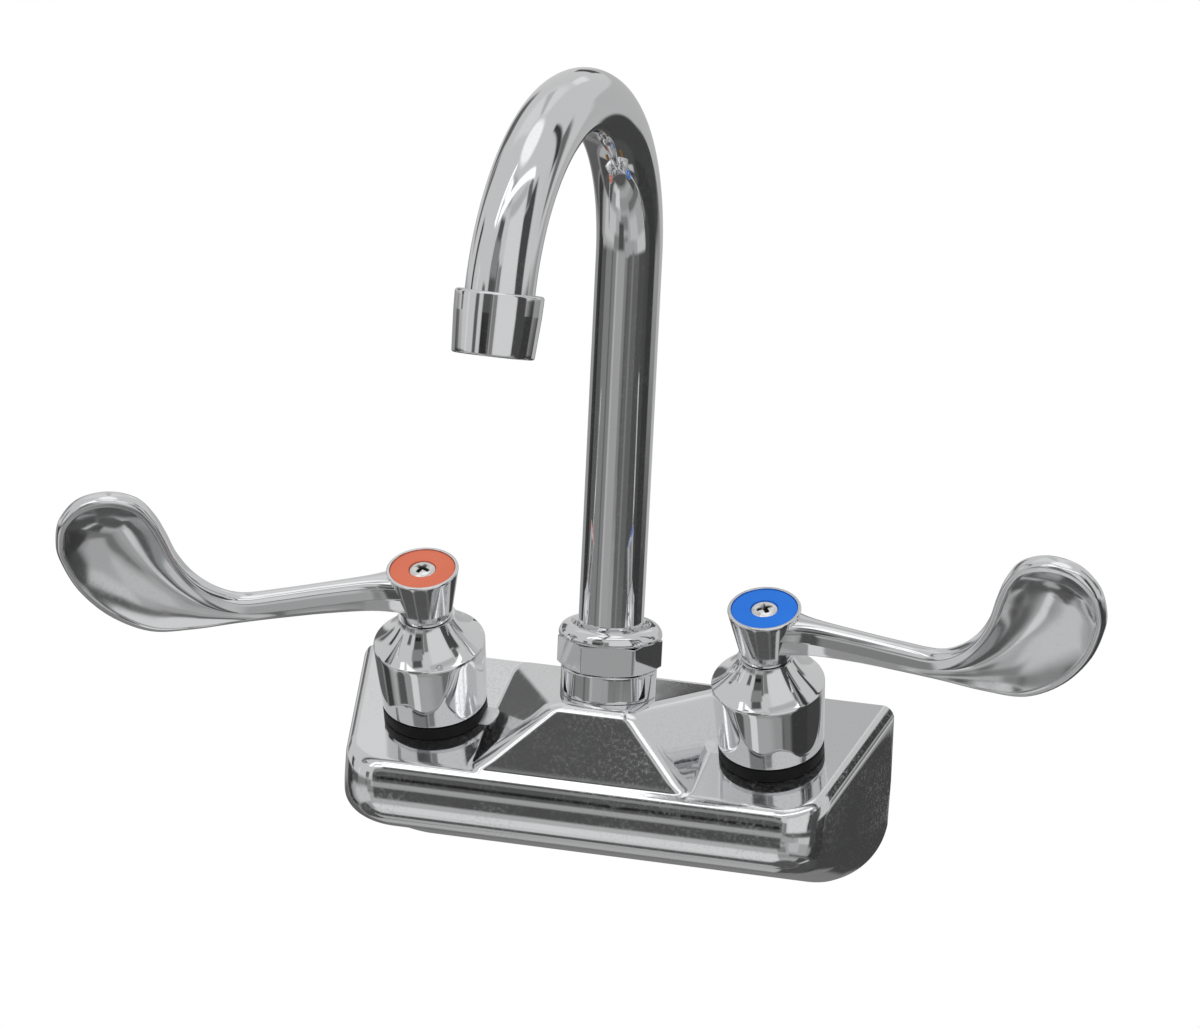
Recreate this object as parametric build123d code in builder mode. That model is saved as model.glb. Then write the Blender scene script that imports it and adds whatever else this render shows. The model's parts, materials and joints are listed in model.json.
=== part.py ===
from build123d import *
import os
from math import cos, radians, sin, tan

os.makedirs("parts", exist_ok=True)

# Wall-mounted hand sink faucet with a swivelling gooseneck and two wrist-blade handles, in mm.
# The origin lies on the wall face midway between the inlets: +X right, +Y into the wall, +Z up.

# Cast body: a drafted block with a sloping deck, a rolled front and a faceted spout pedestal
inlet_spacing = 101.6
body_width = 162.6
body_height = 57.0
end_draft = 11.8
bottom_corner = 24.0
deck_tilt = 22.0
lip_from_wall = 50.9
front_from_wall = 55.5
bottom_slope = 18.5
front_roll = 9.0
front_corner = 10.0
trim = 0.3
rim_round = 1.2
casting_wall = 5.0
rib = 4.0
outer_rib_x = 33.0
pedestal_front = 39.4
pedestal_top_half = 11.5
pedestal_back_half = 33.4
pedestal_foot_half = 32.9

# Waterways in the casting
valve_from_wall = 25.1
spout_from_wall = 20.9
cup_wall = 3.4
well_r = 6.5
well_depth = 26.0
passage_r = 5.5
channel_r = 4.5
channel_drop = 16.5
socket_floor = 24.0

# Inlet shanks, half-inch parallel pipe thread
inlet_r = 10.48
inlet_bore_r = 7.0
inlet_reach = 38.0
inlet_chamfer = 1.2
inlet_plug_r = 9.4
inlet_plug_depth = 11.0
inlet_groove = 0.6
inlet_relief = 0.5

# Clearances
running = 0.05
film = 0.03
slip = 0.1
loose = 0.25

# Quarter-turn cartridge, heights along the valve axis above the deck
boss_r = 12.3
boss_height = 9.0
seat_depth = 11.0
seal_thick = 1.5
cartridge_r = 8.6
cartridge_thread_r = 10.4
thread_length = 8.0
hex_across_flats = 20.0
hex_height = 5.0
neck_r = 6.8
neck_top = 33.0
disc_r = 7.5
disc_thick = 2.5
disc_port_r = 2.2
disc_port_orbit = 4.0
carrier_thick = 2.2
tang_width = 2.4
tang_depth = 1.2
window_width = 7.0
window_height = 3.4
stem_r = 4.0
stem_top = 46.0
square_drive = 5.6
square_start = 35.0
o_ring_section = 1.4
stem_ring_heights = (8.0, 12.5)
clip_thick = 0.8
clip_r = 5.5
clip_groove = 0.7

# Bell and its base gasket
gasket_thick = 2.6
gasket_r = 15.1
bell_base_r = 15.4
bell_shoulder_r = 16.35
bell_shoulder = 23.6
bell_top = 34.5
bell_top_r = 8.2
bell_hollow = 1.0
bell_land = 4.0

# Wrist-blade handle: u runs out along the arm, heights are above the deck
hub_bottom = 35.2
hub_bottom_r = 7.4
hub_top = 50.4
hub_top_r = 10.35
index_r = 9.2
index_thick = 1.4
index_sink = 1.6
screw_r = 2.0
screw_length = 12.0
screw_head_r = 3.85
screw_head_height = 1.9
screw_edge = 0.8
cross_width = 1.1
cross_length = 4.6
cross_depth = 0.9
cross_turn = 45.0
arm_bottom = 41.0
arm_top = 49.8
arm_bend = 50.0
arm_front = 3.6
arm_back = 4.4
blade_throat = 70.6
blade_crown = 86.5
blade_top = 92.0
blade_reach = 103.8
blade_widest = 74.5
blade_heel = 76.0
blade_rim = 2.4
dish_start = 59.6
dish_depth = 4.2
dish_mid_share = 0.9
dish_floor_share = 0.6
edge_front = 1.2
edge_back = 3.0
hot_turn = 23.0
cold_turn = 9.3

# Gooseneck spout, heights above the pedestal top
tube_r = 9.5
tube_wall = 1.2
tube_straight = 129.5
rise_radius = 51.3
fall_radius = 54.3
fall_angle = 78.6
spout_turn = -4.5
stub_r = 11.4
stub_height = 9.0
plug_r = 8.0
plug_depth = 11.0
plug_bore_r = 5.5
plug_ring_depths = (1.5, 6.5)
spout_ring_section = 1.8
bearing_thick = 1.0
flange_r = 10.8
flange_thick = 2.4
sleeve_length = 10.0
thrust_thick = 1.4
nut_skirt_r = 13.7
nut_skirt = 8.0
nut_across_flats = 26.0
nut_hex = 9.8
nut_top = 20.0
nut_opening = 0.4
nut_dome_r = 11.5
nut_mouth_r = 10.9
nut_mouth_depth = 2.2
nut_chamfer = 1.2
nut_turn = 12.6

# Aerator at the outlet
aerator_length = 16.5
aerator_grip = 5.0
aerator_top_r = 12.1
aerator_bottom_r = 11.2
aerator_edge = 0.8
aerator_wall = 1.6
washer_thick = 1.6
aerator_lip = 1.5
insert_hole_r = 0.75
insert_rows = ((3.0, 6), (5.6, 12), (8.0, 18))

# Places worked out from the sizes above
body_top = body_height / 2
body_bottom = -body_height / 2
deck_drop = tan(radians(deck_tilt))
lip_z = body_top - lip_from_wall * deck_drop
valve_x = inlet_spacing / 2
valve_z = body_top - valve_from_wall * deck_drop
valve_up = Vector(0, -sin(radians(deck_tilt)), cos(radians(deck_tilt)))
valve_front = Vector(0, -cos(radians(deck_tilt)), -sin(radians(deck_tilt)))
channel_y = -(valve_from_wall + spout_from_wall) / 2
channel_z = body_top - channel_drop
chamber_r = cartridge_thread_r + slip
socket_r = plug_r + running
cup_r = chamber_r + cup_wall
inlet_hole_r = inlet_plug_r + slip


def save(piece, name):
    piece.part.label = name
    export_step(piece.part, f"parts/{name}.step")


def valve_plane(side):
    return Plane(origin=(side * valve_x, -valve_from_wall, valve_z), x_dir=(1, 0, 0), z_dir=valve_up)


def cast_outline(inset):
    """The wall outline with its large bottom corners, drawn in by an inset and open to the top"""
    with BuildSketch(Plane.XZ) as outline:
        with Locations((0, body_bottom + inset)):
            Rectangle(body_width - 2 * inset, 2 * body_height, align=(Align.CENTER, Align.MIN))
        fillet(outline.vertices().group_by(Axis.Y)[0], bottom_corner - inset)
    return outline.sketch


def cast_plan():
    """The plan: drafted ends and rounded front corners"""
    front_half = body_width / 2 - front_from_wall * tan(radians(end_draft))
    with BuildSketch() as plan:
        with BuildLine():
            Polyline(
                (body_width / 2, 0),
                (front_half, -front_from_wall),
                (-front_half, -front_from_wall),
                (-body_width / 2, 0),
                close=True,
            )
        make_face()
        fillet(plan.vertices().group_by(Axis.Y)[0], front_corner)
    return plan.sketch


def cast_side(inset):
    """The side profile: sloping deck, rolled front and sloping bottom, drawn in except at the wall"""
    bottom_drop = tan(radians(bottom_slope))
    back = 2 * inset + trim
    with BuildSketch(Plane.YZ) as profile:
        with BuildLine():
            Polyline(
                (back, body_top + back * deck_drop),
                (-lip_from_wall, lip_z),
                (-front_from_wall, body_bottom + front_from_wall * bottom_drop),
                (back, body_bottom - back * bottom_drop),
                close=True,
            )
        make_face()
        fillet(profile.vertices().sort_by(Axis.X)[0], front_roll)
        if inset:
            offset(amount=-inset, kind=Kind.INTERSECTION)
    return profile.sketch


# Cores: the hollow of the casting, open to the wall, around its cups and ribs
with BuildPart() as core:
    extrude(cast_outline(casting_wall), amount=front_from_wall, taper=end_draft)
    extrude(cast_side(casting_wall), amount=body_width, both=True, mode=Mode.INTERSECT)
    with BuildSketch(Plane.XZ):
        with Locations((0, 0)):
            Rectangle(body_width, rib)
        with Locations((0, 0), (-outer_rib_x, 0), (outer_rib_x, 0), (-valve_x, 0), (valve_x, 0)):
            Rectangle(rib, body_height)
        with Locations((-valve_x, 0), (valve_x, 0)):
            Circle(inlet_hole_r + cup_wall)
    extrude(amount=front_from_wall, mode=Mode.SUBTRACT)
    for side in (-1, 1):
        with BuildSketch(valve_plane(side).offset(-well_depth - cup_wall)):
            Circle(cup_r)
        extrude(amount=well_depth + body_height, mode=Mode.SUBTRACT)
    with BuildSketch(Plane.XY.offset(body_top - socket_floor - cup_wall)):
        with Locations((0, -spout_from_wall)):
            Circle(socket_r + cup_wall)
    extrude(amount=body_height, mode=Mode.SUBTRACT)
    with BuildSketch(Plane.YZ):
        with Locations((channel_y, channel_z)):
            Circle(channel_r + cup_wall)
    extrude(amount=valve_x, both=True, mode=Mode.SUBTRACT)

# Cast brass body
with BuildPart() as valve_body:
    extrude(cast_side(0), amount=body_width, both=True)

    # Faceted pedestal: its flanks run from the top trapezoid down to the lip
    flank = (pedestal_back_half - pedestal_top_half) / pedestal_front
    foot_back_half = pedestal_foot_half + flank * lip_from_wall
    with BuildSketch(Plane.XY.offset(lip_z)):
        with BuildLine():
            Polyline(
                (-pedestal_foot_half, -lip_from_wall),
                (pedestal_foot_half, -lip_from_wall),
                (foot_back_half, 0),
                (-foot_back_half, 0),
                close=True,
            )
        make_face()
    with BuildSketch(Plane.XY.offset(body_top)):
        with BuildLine():
            Polyline(
                (-pedestal_top_half, -pedestal_front),
                (pedestal_top_half, -pedestal_front),
                (pedestal_back_half, 0),
                (-pedestal_back_half, 0),
                close=True,
            )
        make_face()
    loft(ruled=True)

    # Rounded edges of the lip and pedestal, but not the two valleys beside the pedestal
    valley_x = (pedestal_foot_half + pedestal_back_half) / 2
    top_edges = valve_body.edges().filter_by(
        lambda e: (e @ 0.5).Z > lip_z - rim_round / 2
        and (e @ 0.5).Y < -rim_round
        and abs((e @ 0.5).X) < body_width / 2
        and abs(abs((e @ 0.5).X) - valley_x) > rim_round
    )
    fillet(top_edges, rim_round)

    # Drafted ends with rounded front corners and large bottom corners, then the deck's end edges
    extrude(cast_plan(), amount=body_height, both=True, mode=Mode.INTERSECT)
    extrude(cast_outline(-trim), amount=front_from_wall, taper=end_draft, mode=Mode.INTERSECT)
    end_edges = valve_body.edges().filter_by(
        lambda e: (e @ 0.5).Z > lip_z and (e @ 0.5).Y < -rim_round and abs((e @ 0.5).X) > valve_x
    )
    fillet(end_edges, rim_round)

    # Threaded bosses for the cartridges and the spout nut
    for side in (-1, 1):
        with BuildSketch(valve_plane(side).offset(-casting_wall)):
            Circle(boss_r)
        extrude(amount=casting_wall + boss_height)
    with BuildSketch(Plane.XY.offset(body_top - casting_wall)):
        with Locations((0, -spout_from_wall)):
            Circle(stub_r)
    extrude(amount=casting_wall + stub_height)
    add(core.part, mode=Mode.SUBTRACT)

    # Valve chambers with their seats, inlet wells and inlet holes
    for side in (-1, 1):
        with BuildSketch(valve_plane(side).offset(-seat_depth)):
            Circle(chamber_r)
        extrude(amount=seat_depth + boss_height, mode=Mode.SUBTRACT)
        with BuildSketch(valve_plane(side).offset(-well_depth)):
            Circle(well_r)
        extrude(amount=well_depth, mode=Mode.SUBTRACT)
    with BuildSketch(Plane.XZ):
        with Locations((-valve_x, 0), (valve_x, 0)):
            Circle(inlet_hole_r)
    extrude(amount=inlet_plug_depth + slip, mode=Mode.SUBTRACT)
    with BuildSketch(Plane.XZ):
        with Locations((-valve_x, 0), (valve_x, 0)):
            Circle(inlet_r + inlet_relief)
    extrude(amount=inlet_groove, mode=Mode.SUBTRACT)
    with BuildSketch(Plane.XZ):
        with Locations((-valve_x, 0), (valve_x, 0)):
            Circle(passage_r)
    extrude(amount=valve_from_wall - well_r, mode=Mode.SUBTRACT)

    # Mixing channel between the valves, and the spout socket above it
    with BuildSketch(Plane.YZ):
        with Locations((channel_y, channel_z)):
            Circle(channel_r)
    extrude(amount=valve_x, both=True, mode=Mode.SUBTRACT)
    with BuildSketch(Plane.XY.offset(body_top - plug_depth - loose)):
        with Locations((0, -spout_from_wall)):
            Circle(socket_r)
    extrude(amount=plug_depth + loose + stub_height, mode=Mode.SUBTRACT)
    with BuildSketch(Plane.XY.offset(body_top - socket_floor)):
        with Locations((0, -spout_from_wall)):
            Circle(plug_bore_r)
    extrude(amount=socket_floor, mode=Mode.SUBTRACT)
save(valve_body, "valve_body")

# Inlet shanks
for name, side in (("hot", -1), ("cold", 1)):
    with BuildPart() as inlet_shank:
        with BuildSketch(Plane.XZ.offset(inlet_plug_depth)):
            with Locations((side * valve_x, 0)):
                Circle(inlet_plug_r)
        extrude(amount=-inlet_plug_depth - inlet_groove)
        with BuildSketch(Plane.XZ.offset(-inlet_groove)):
            with Locations((side * valve_x, 0)):
                Circle(inlet_r)
        extrude(amount=inlet_groove - inlet_reach)
        chamfer(inlet_shank.edges().sort_by(Axis.Y)[-1], inlet_chamfer)
        with BuildSketch(Plane.XZ.offset(inlet_plug_depth)):
            with Locations((side * valve_x, 0)):
                Circle(inlet_bore_r)
        extrude(amount=-inlet_plug_depth - inlet_reach, mode=Mode.SUBTRACT)
    save(inlet_shank, f"{name}_inlet_shank")


def turned(plane, *points):
    """Half section of a turned piece, as radius and height pairs"""
    with BuildSketch(plane) as half:
        with BuildLine():
            Polyline(*points, close=True)
        make_face()
    return half.sketch


def o_ring(plane, ring_r, section, height):
    """Round section of an O-ring"""
    with BuildSketch(plane) as half:
        with Locations((ring_r, height)):
            Circle(section / 2)
    return half.sketch


# Valve stack, from the seat up
cartridge_bottom = seal_thick - seat_depth
fixed_top = cartridge_bottom + disc_thick
moving_bottom = fixed_top + film
moving_top = moving_bottom + disc_thick
carrier_bottom = moving_top + film
carrier_top = carrier_bottom + carrier_thick
chamber_ceiling = carrier_top + running
thread_bottom = boss_height - thread_length
clip_bottom = neck_top + running
index_floor = hub_top - index_sink
stem_ring_r = stem_r + running - film - o_ring_section / 2
stem_groove_r = stem_ring_r - o_ring_section / 2 - film

for name, side, turn in (("hot", -1, hot_turn), ("cold", 1, cold_turn)):
    deck = valve_plane(side)
    axis = Axis(deck.origin, valve_up)
    half = Plane(origin=deck.origin, x_dir=(1, 0, 0), z_dir=valve_front)
    across = Plane(origin=deck.origin, x_dir=valve_front, z_dir=(1, 0, 0))
    out = Vector(side * cos(radians(turn)), 0, 0) + valve_front * sin(radians(turn))
    arm = Plane(origin=deck.origin, x_dir=out, z_dir=out.cross(valve_up))
    drive = Plane(origin=deck.origin, x_dir=out, z_dir=valve_up)

    # Rubber seat seal under the cartridge
    with BuildPart() as seat_seal:
        with BuildSketch(deck.offset(-seat_depth)):
            Circle(cartridge_r)
            Circle(well_r, mode=Mode.SUBTRACT)
        extrude(amount=seal_thick)
    save(seat_seal, f"{name}_seat_seal")

    # Brass cartridge body, screwed into the boss
    with BuildPart() as cartridge:
        revolve(
            turned(
                half,
                (0, cartridge_bottom),
                (cartridge_r, cartridge_bottom),
                (cartridge_r, thread_bottom),
                (cartridge_thread_r, thread_bottom),
                (cartridge_thread_r, boss_height),
                (neck_r, boss_height),
                (neck_r, neck_top),
                (0, neck_top),
            ),
            axis=axis,
        )
        with BuildSketch(deck.offset(boss_height)):
            RegularPolygon(hex_across_flats / 2, 6, major_radius=False)
        extrude(amount=hex_height)
        revolve(
            turned(
                half,
                (0, cartridge_bottom),
                (disc_r + slip, cartridge_bottom),
                (disc_r + slip, chamber_ceiling),
                (stem_r + running, chamber_ceiling),
                (stem_r + running, neck_top),
                (0, neck_top),
            ),
            axis=axis,
            mode=Mode.SUBTRACT,
        )
        with BuildSketch(across):
            with Locations((0, (moving_bottom + chamber_ceiling) / 2)):
                Rectangle(window_width, window_height)
        extrude(amount=cartridge_thread_r, both=True, mode=Mode.SUBTRACT)
    save(cartridge, f"{name}_cartridge")

    # Ceramic discs: the lower one is fixed, the upper one turns with the stem
    with BuildPart() as fixed_disc:
        with BuildSketch(deck.offset(cartridge_bottom)):
            Circle(disc_r)
            with PolarLocations(disc_port_orbit, 2):
                Circle(disc_port_r, mode=Mode.SUBTRACT)
        extrude(amount=disc_thick)
    save(fixed_disc, f"{name}_fixed_disc")
    with BuildPart() as moving_disc:
        with BuildSketch(drive.offset(moving_bottom)):
            Circle(disc_r)
            with PolarLocations(disc_port_orbit, 2):
                Circle(disc_port_r, mode=Mode.SUBTRACT)
        extrude(amount=disc_thick)
        with BuildSketch(drive.offset(moving_top - tang_depth)):
            Rectangle(tang_width + 2 * slip, 2 * disc_r)
        extrude(amount=tang_depth, mode=Mode.SUBTRACT)
    save(moving_disc, f"{name}_moving_disc")

    # Brass stem with its disc carrier, seal grooves and square drive
    with BuildPart() as stem:
        revolve(
            turned(
                half,
                (0, carrier_bottom),
                (disc_r, carrier_bottom),
                (disc_r, carrier_top),
                (stem_r, carrier_top),
                (stem_r, square_start),
                (0, square_start),
            ),
            axis=axis,
        )
        with BuildSketch(drive.offset(square_start)):
            Rectangle(square_drive, square_drive)
        extrude(amount=stem_top - square_start)
        with BuildSketch(drive.offset(moving_top - tang_depth + slip)):
            Rectangle(tang_width, 2 * disc_r - 2 * tang_width)
        extrude(amount=tang_depth - slip + film)
        for ring_height in stem_ring_heights:
            with BuildSketch(deck.offset(ring_height - o_ring_section / 2 - film)):
                Circle(stem_r)
                Circle(stem_groove_r, mode=Mode.SUBTRACT)
            extrude(amount=o_ring_section + 2 * film, mode=Mode.SUBTRACT)
        with BuildSketch(deck.offset(clip_bottom - film)):
            Circle(stem_r)
            Circle(stem_r - clip_groove, mode=Mode.SUBTRACT)
        extrude(amount=clip_thick + 2 * film, mode=Mode.SUBTRACT)
        with BuildSketch(deck.offset(stem_top)):
            Circle(screw_r + slip)
        extrude(amount=-screw_length, mode=Mode.SUBTRACT)
    save(stem, f"{name}_stem")

    # Rubber O-rings on the stem, and the spring clip that keeps it in the cartridge
    with BuildPart() as stem_seals:
        for ring_height in stem_ring_heights:
            revolve(o_ring(half, stem_ring_r, o_ring_section, ring_height), axis=axis)
    save(stem_seals, f"{name}_stem_seals")
    with BuildPart() as stem_clip:
        with BuildSketch(drive.offset(clip_bottom)):
            Circle(clip_r)
            Circle(stem_r - clip_groove + film, mode=Mode.SUBTRACT)
            with Locations((0, -clip_r)):
                Rectangle(2 * (stem_r - clip_groove), 2 * clip_r, mode=Mode.SUBTRACT)
        extrude(amount=clip_thick)
    save(stem_clip, f"{name}_stem_clip")

    # Black rubber ring between the bell and the deck
    with BuildPart() as base_gasket:
        with BuildSketch(deck):
            Circle(gasket_r)
            Circle(boss_r + loose, mode=Mode.SUBTRACT)
        extrude(amount=gasket_thick)
    save(base_gasket, f"{name}_base_gasket")

    # Bell that covers the cartridge
    with BuildPart() as bell:
        with BuildSketch(half):
            with BuildLine():
                Polyline(
                    (neck_r + loose, bell_top),
                    (neck_r + loose, bell_top - bell_land),
                    (boss_r + loose, bell_shoulder),
                    (boss_r + loose, gasket_thick),
                    (bell_base_r, gasket_thick),
                    (bell_shoulder_r, bell_shoulder),
                )
                ThreePointArc(
                    (bell_shoulder_r, bell_shoulder),
                    (
                        (bell_shoulder_r + bell_top_r) / 2 - bell_hollow,
                        (bell_shoulder + bell_top) / 2 - bell_hollow,
                    ),
                    (bell_top_r, bell_top),
                )
                Line((bell_top_r, bell_top), (neck_r + loose, bell_top))
            make_face()
        revolve(axis=axis)
    save(bell, f"{name}_bell")

    # Handle: a conical hub, an arm and an upturned blade with a dished face
    throat_height = (arm_top + blade_top) / 2
    with BuildPart() as handle:
        with BuildSketch(arm.offset(-side * arm_back)):
            with BuildLine():
                Line((0, arm_bottom), (0, arm_top))
                Line((0, arm_top), (arm_bend, arm_top))
                Spline(
                    (arm_bend, arm_top),
                    (blade_throat, throat_height),
                    (blade_crown, blade_top),
                    tangents=((1, 0), (1, 0)),
                )
                Spline(
                    (blade_crown, blade_top),
                    (blade_reach, blade_widest),
                    (blade_heel, arm_bottom),
                    tangents=((1, 0), (-1, 0)),
                )
                Line((blade_heel, arm_bottom), (0, arm_bottom))
            make_face()
        extrude(amount=side * (arm_back + arm_front))
        flanks = handle.faces().sort_by(Axis(deck.origin, arm.z_dir * side))
        fillet(flanks[0].edges(), edge_back)
        flanks = handle.faces().sort_by(Axis(deck.origin, arm.z_dir * side))
        fillet(flanks[-1].edges(), edge_front)
        centre = Vector((blade_throat + blade_reach) / 2, throat_height)
        rim_points = (
            (dish_start, arm_top + blade_rim / 2),
            (blade_throat + blade_rim, throat_height),
            (blade_crown, blade_top - blade_rim),
            (blade_reach - blade_rim, blade_widest),
            (blade_heel, arm_bottom + blade_rim),
        )
        for depth, share in ((0, 1), (dish_depth / 2, dish_mid_share), (dish_depth, dish_floor_share)):
            with BuildSketch(arm.offset(side * (arm_front - depth))):
                with BuildLine():
                    Spline(
                        *[tuple(centre + (Vector(p) - centre) * share)[:2] for p in rim_points],
                        periodic=True,
                    )
                make_face()
        loft(mode=Mode.SUBTRACT)
        revolve(
            turned(
                half,
                (0, hub_bottom),
                (hub_bottom_r, hub_bottom),
                (hub_top_r, hub_top),
                (0, hub_top),
            ),
            axis=axis,
        )
        with BuildSketch(deck.offset(index_floor)):
            Circle(index_r + slip)
        extrude(amount=index_sink, mode=Mode.SUBTRACT)
        with BuildSketch(drive.offset(hub_bottom)):
            Rectangle(square_drive + 2 * slip, square_drive + 2 * slip)
        extrude(amount=stem_top + slip - hub_bottom, mode=Mode.SUBTRACT)
        with BuildSketch(deck.offset(hub_bottom)):
            Circle(screw_r + slip)
        extrude(amount=index_floor - hub_bottom, mode=Mode.SUBTRACT)
    save(handle, f"{name}_handle")

    # Coloured index ring and the screw that holds the handle on
    with BuildPart() as index:
        with BuildSketch(deck.offset(index_floor)):
            Circle(index_r)
            Circle(screw_head_r + slip, mode=Mode.SUBTRACT)
        extrude(amount=index_thick)
    save(index, f"{name}_index")
    with BuildPart() as screw:
        revolve(
            turned(
                half,
                (0, index_floor - screw_length),
                (screw_r, index_floor - screw_length),
                (screw_r, index_floor),
                (screw_head_r, index_floor),
                (screw_head_r, index_floor + index_thick),
                (screw_head_r - screw_edge, index_floor + screw_head_height),
                (0, index_floor + screw_head_height),
            ),
            axis=axis,
        )
        with BuildSketch(drive.offset(index_floor + screw_head_height - cross_depth)):
            Rectangle(cross_length, cross_width, rotation=cross_turn)
            Rectangle(cross_length, cross_width, rotation=-cross_turn)
        extrude(amount=cross_depth, mode=Mode.SUBTRACT)
    save(screw, f"{name}_screw")

# Spout stack above the pedestal top
spout_base = Vector(0, -spout_from_wall, body_top)
spout_axis = Axis(spout_base, (0, 0, 1))
reach = Vector(sin(radians(spout_turn)), -cos(radians(spout_turn)), 0)
spout_side = reach.cross(Vector(0, 0, 1))
spout_plane = Plane(origin=spout_base, x_dir=reach, z_dir=spout_side)
bearing_top = stub_height + bearing_thick
flange_bottom = bearing_top + film
flange_top = flange_bottom + flange_thick
thrust_bottom = flange_top + film
thrust_top = thrust_bottom + thrust_thick
sleeve_r = tube_r - tube_wall - film
plug_ring_r = socket_r - film - spout_ring_section / 2
plug_groove_r = plug_ring_r - spout_ring_section / 2 - film

# Gooseneck tube
with BuildPart() as spout_tube:
    with BuildLine(spout_plane) as route:
        leg = Line((0, flange_top), (0, tube_straight))
        rise = JernArc(leg @ 1, leg % 1, rise_radius, -90)
        fall = JernArc(rise @ 1, rise % 1, fall_radius, -fall_angle)
        tip = Line(fall @ 1, (fall @ 1) + (fall % 1) * aerator_grip)
    with BuildSketch(Plane(origin=leg @ 0, z_dir=(0, 0, 1))):
        Circle(tube_r)
        Circle(tube_r - tube_wall, mode=Mode.SUBTRACT)
    sweep()
save(spout_tube, "spout_tube")

# Brass end piece brazed into the tube, with its two O-rings
with BuildPart() as spout_plug:
    revolve(
        turned(
            spout_plane,
            (plug_bore_r, -plug_depth),
            (plug_r, -plug_depth),
            (plug_r, flange_bottom),
            (flange_r, flange_bottom),
            (flange_r, flange_top),
            (sleeve_r, flange_top),
            (sleeve_r, flange_top + sleeve_length),
            (plug_bore_r, flange_top + sleeve_length),
        ),
        axis=spout_axis,
    )
    for ring_depth in plug_ring_depths:
        with BuildSketch(Plane(spout_base).offset(-ring_depth - spout_ring_section / 2 - film)):
            Circle(plug_r)
            Circle(plug_groove_r, mode=Mode.SUBTRACT)
        extrude(amount=spout_ring_section + 2 * film, mode=Mode.SUBTRACT)
save(spout_plug, "spout_plug")
with BuildPart() as spout_seals:
    for ring_depth in plug_ring_depths:
        revolve(o_ring(spout_plane, plug_ring_r, spout_ring_section, -ring_depth), axis=spout_axis)
save(spout_seals, "spout_seals")

# Plastic bearing washer under the flange and thrust ring above it
with BuildPart() as spout_bearing:
    with BuildSketch(Plane(spout_base).offset(stub_height)):
        Circle(stub_r)
        Circle(plug_r + loose, mode=Mode.SUBTRACT)
    extrude(amount=bearing_thick)
save(spout_bearing, "spout_bearing")
with BuildPart() as spout_thrust_ring:
    with BuildSketch(Plane(spout_base).offset(thrust_bottom)):
        Circle(stub_r)
        Circle(tube_r + loose, mode=Mode.SUBTRACT)
    extrude(amount=thrust_thick)
save(spout_thrust_ring, "spout_thrust_ring")

# Hexagon nut with a round skirt
with BuildPart() as spout_nut:
    with BuildSketch(Plane(spout_base).offset(nut_skirt)):
        RegularPolygon(nut_across_flats / 2, 6, major_radius=False, rotation=nut_turn)
    extrude(amount=nut_top - nut_skirt)
    corner_r = nut_across_flats / 2 / cos(radians(30))
    revolve(
        turned(
            spout_plane,
            (0, nut_skirt),
            (nut_across_flats / 2, nut_skirt),
            (corner_r, nut_skirt + nut_chamfer),
            (corner_r, nut_skirt + nut_hex),
            (nut_dome_r, nut_top),
            (0, nut_top),
        ),
        axis=spout_axis,
        mode=Mode.INTERSECT,
    )
    with BuildSketch(Plane(spout_base).offset(loose)):
        Circle(nut_skirt_r)
    extrude(amount=nut_skirt - loose + nut_chamfer)
    with BuildSketch(Plane(spout_base).offset(loose)):
        Circle(stub_r + slip)
    extrude(amount=thrust_top + film - loose, mode=Mode.SUBTRACT)
    with BuildSketch(Plane(spout_base).offset(loose)):
        Circle(tube_r + nut_opening)
    extrude(amount=nut_top, mode=Mode.SUBTRACT)
    revolve(
        turned(
            spout_plane,
            (0, nut_top - nut_mouth_depth),
            (tube_r + nut_opening, nut_top - nut_mouth_depth),
            (nut_mouth_r, nut_top),
            (0, nut_top),
        ),
        axis=spout_axis,
        mode=Mode.SUBTRACT,
    )
save(spout_nut, "spout_nut")

# Aerator: a chrome housing on the tube's end, a rubber washer and a drilled insert
outlet = fall @ 1
outlet_dir = fall % 1
outlet_plane = Plane(origin=outlet, x_dir=spout_side, z_dir=outlet_dir)
outlet_half = Plane(origin=outlet, x_dir=spout_side, z_dir=spout_side.cross(outlet_dir))
outlet_axis = Axis(outlet, outlet_dir)
insert_r = aerator_bottom_r - aerator_wall
insert_top = aerator_grip + washer_thick
insert_bottom = aerator_length - aerator_lip
with BuildPart() as aerator_housing:
    revolve(
        turned(
            outlet_half,
            (insert_r + slip, 0),
            (aerator_top_r - aerator_edge, 0),
            (aerator_top_r, aerator_edge),
            (aerator_bottom_r, aerator_length - aerator_edge),
            (aerator_bottom_r - aerator_edge, aerator_length),
            (insert_r - aerator_lip, aerator_length),
            (insert_r - aerator_lip, insert_bottom),
            (insert_r + slip, insert_bottom),
        ),
        axis=outlet_axis,
    )
save(aerator_housing, "aerator_housing")
with BuildPart() as aerator_washer:
    with BuildSketch(outlet_plane.offset(aerator_grip)):
        Circle(insert_r)
        Circle(tube_r - tube_wall, mode=Mode.SUBTRACT)
    extrude(amount=washer_thick)
save(aerator_washer, "aerator_washer")
with BuildPart() as aerator_insert:
    with BuildSketch(outlet_plane.offset(insert_top)):
        Circle(insert_r)
        for row_r, count in insert_rows:
            with PolarLocations(row_r, count):
                Circle(insert_hole_r, mode=Mode.SUBTRACT)
    extrude(amount=insert_bottom - insert_top)
save(aerator_insert, "aerator_insert")
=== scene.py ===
import json
import math

import bmesh
import bpy
import numpy as np
from mathutils import Matrix, Vector


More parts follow.
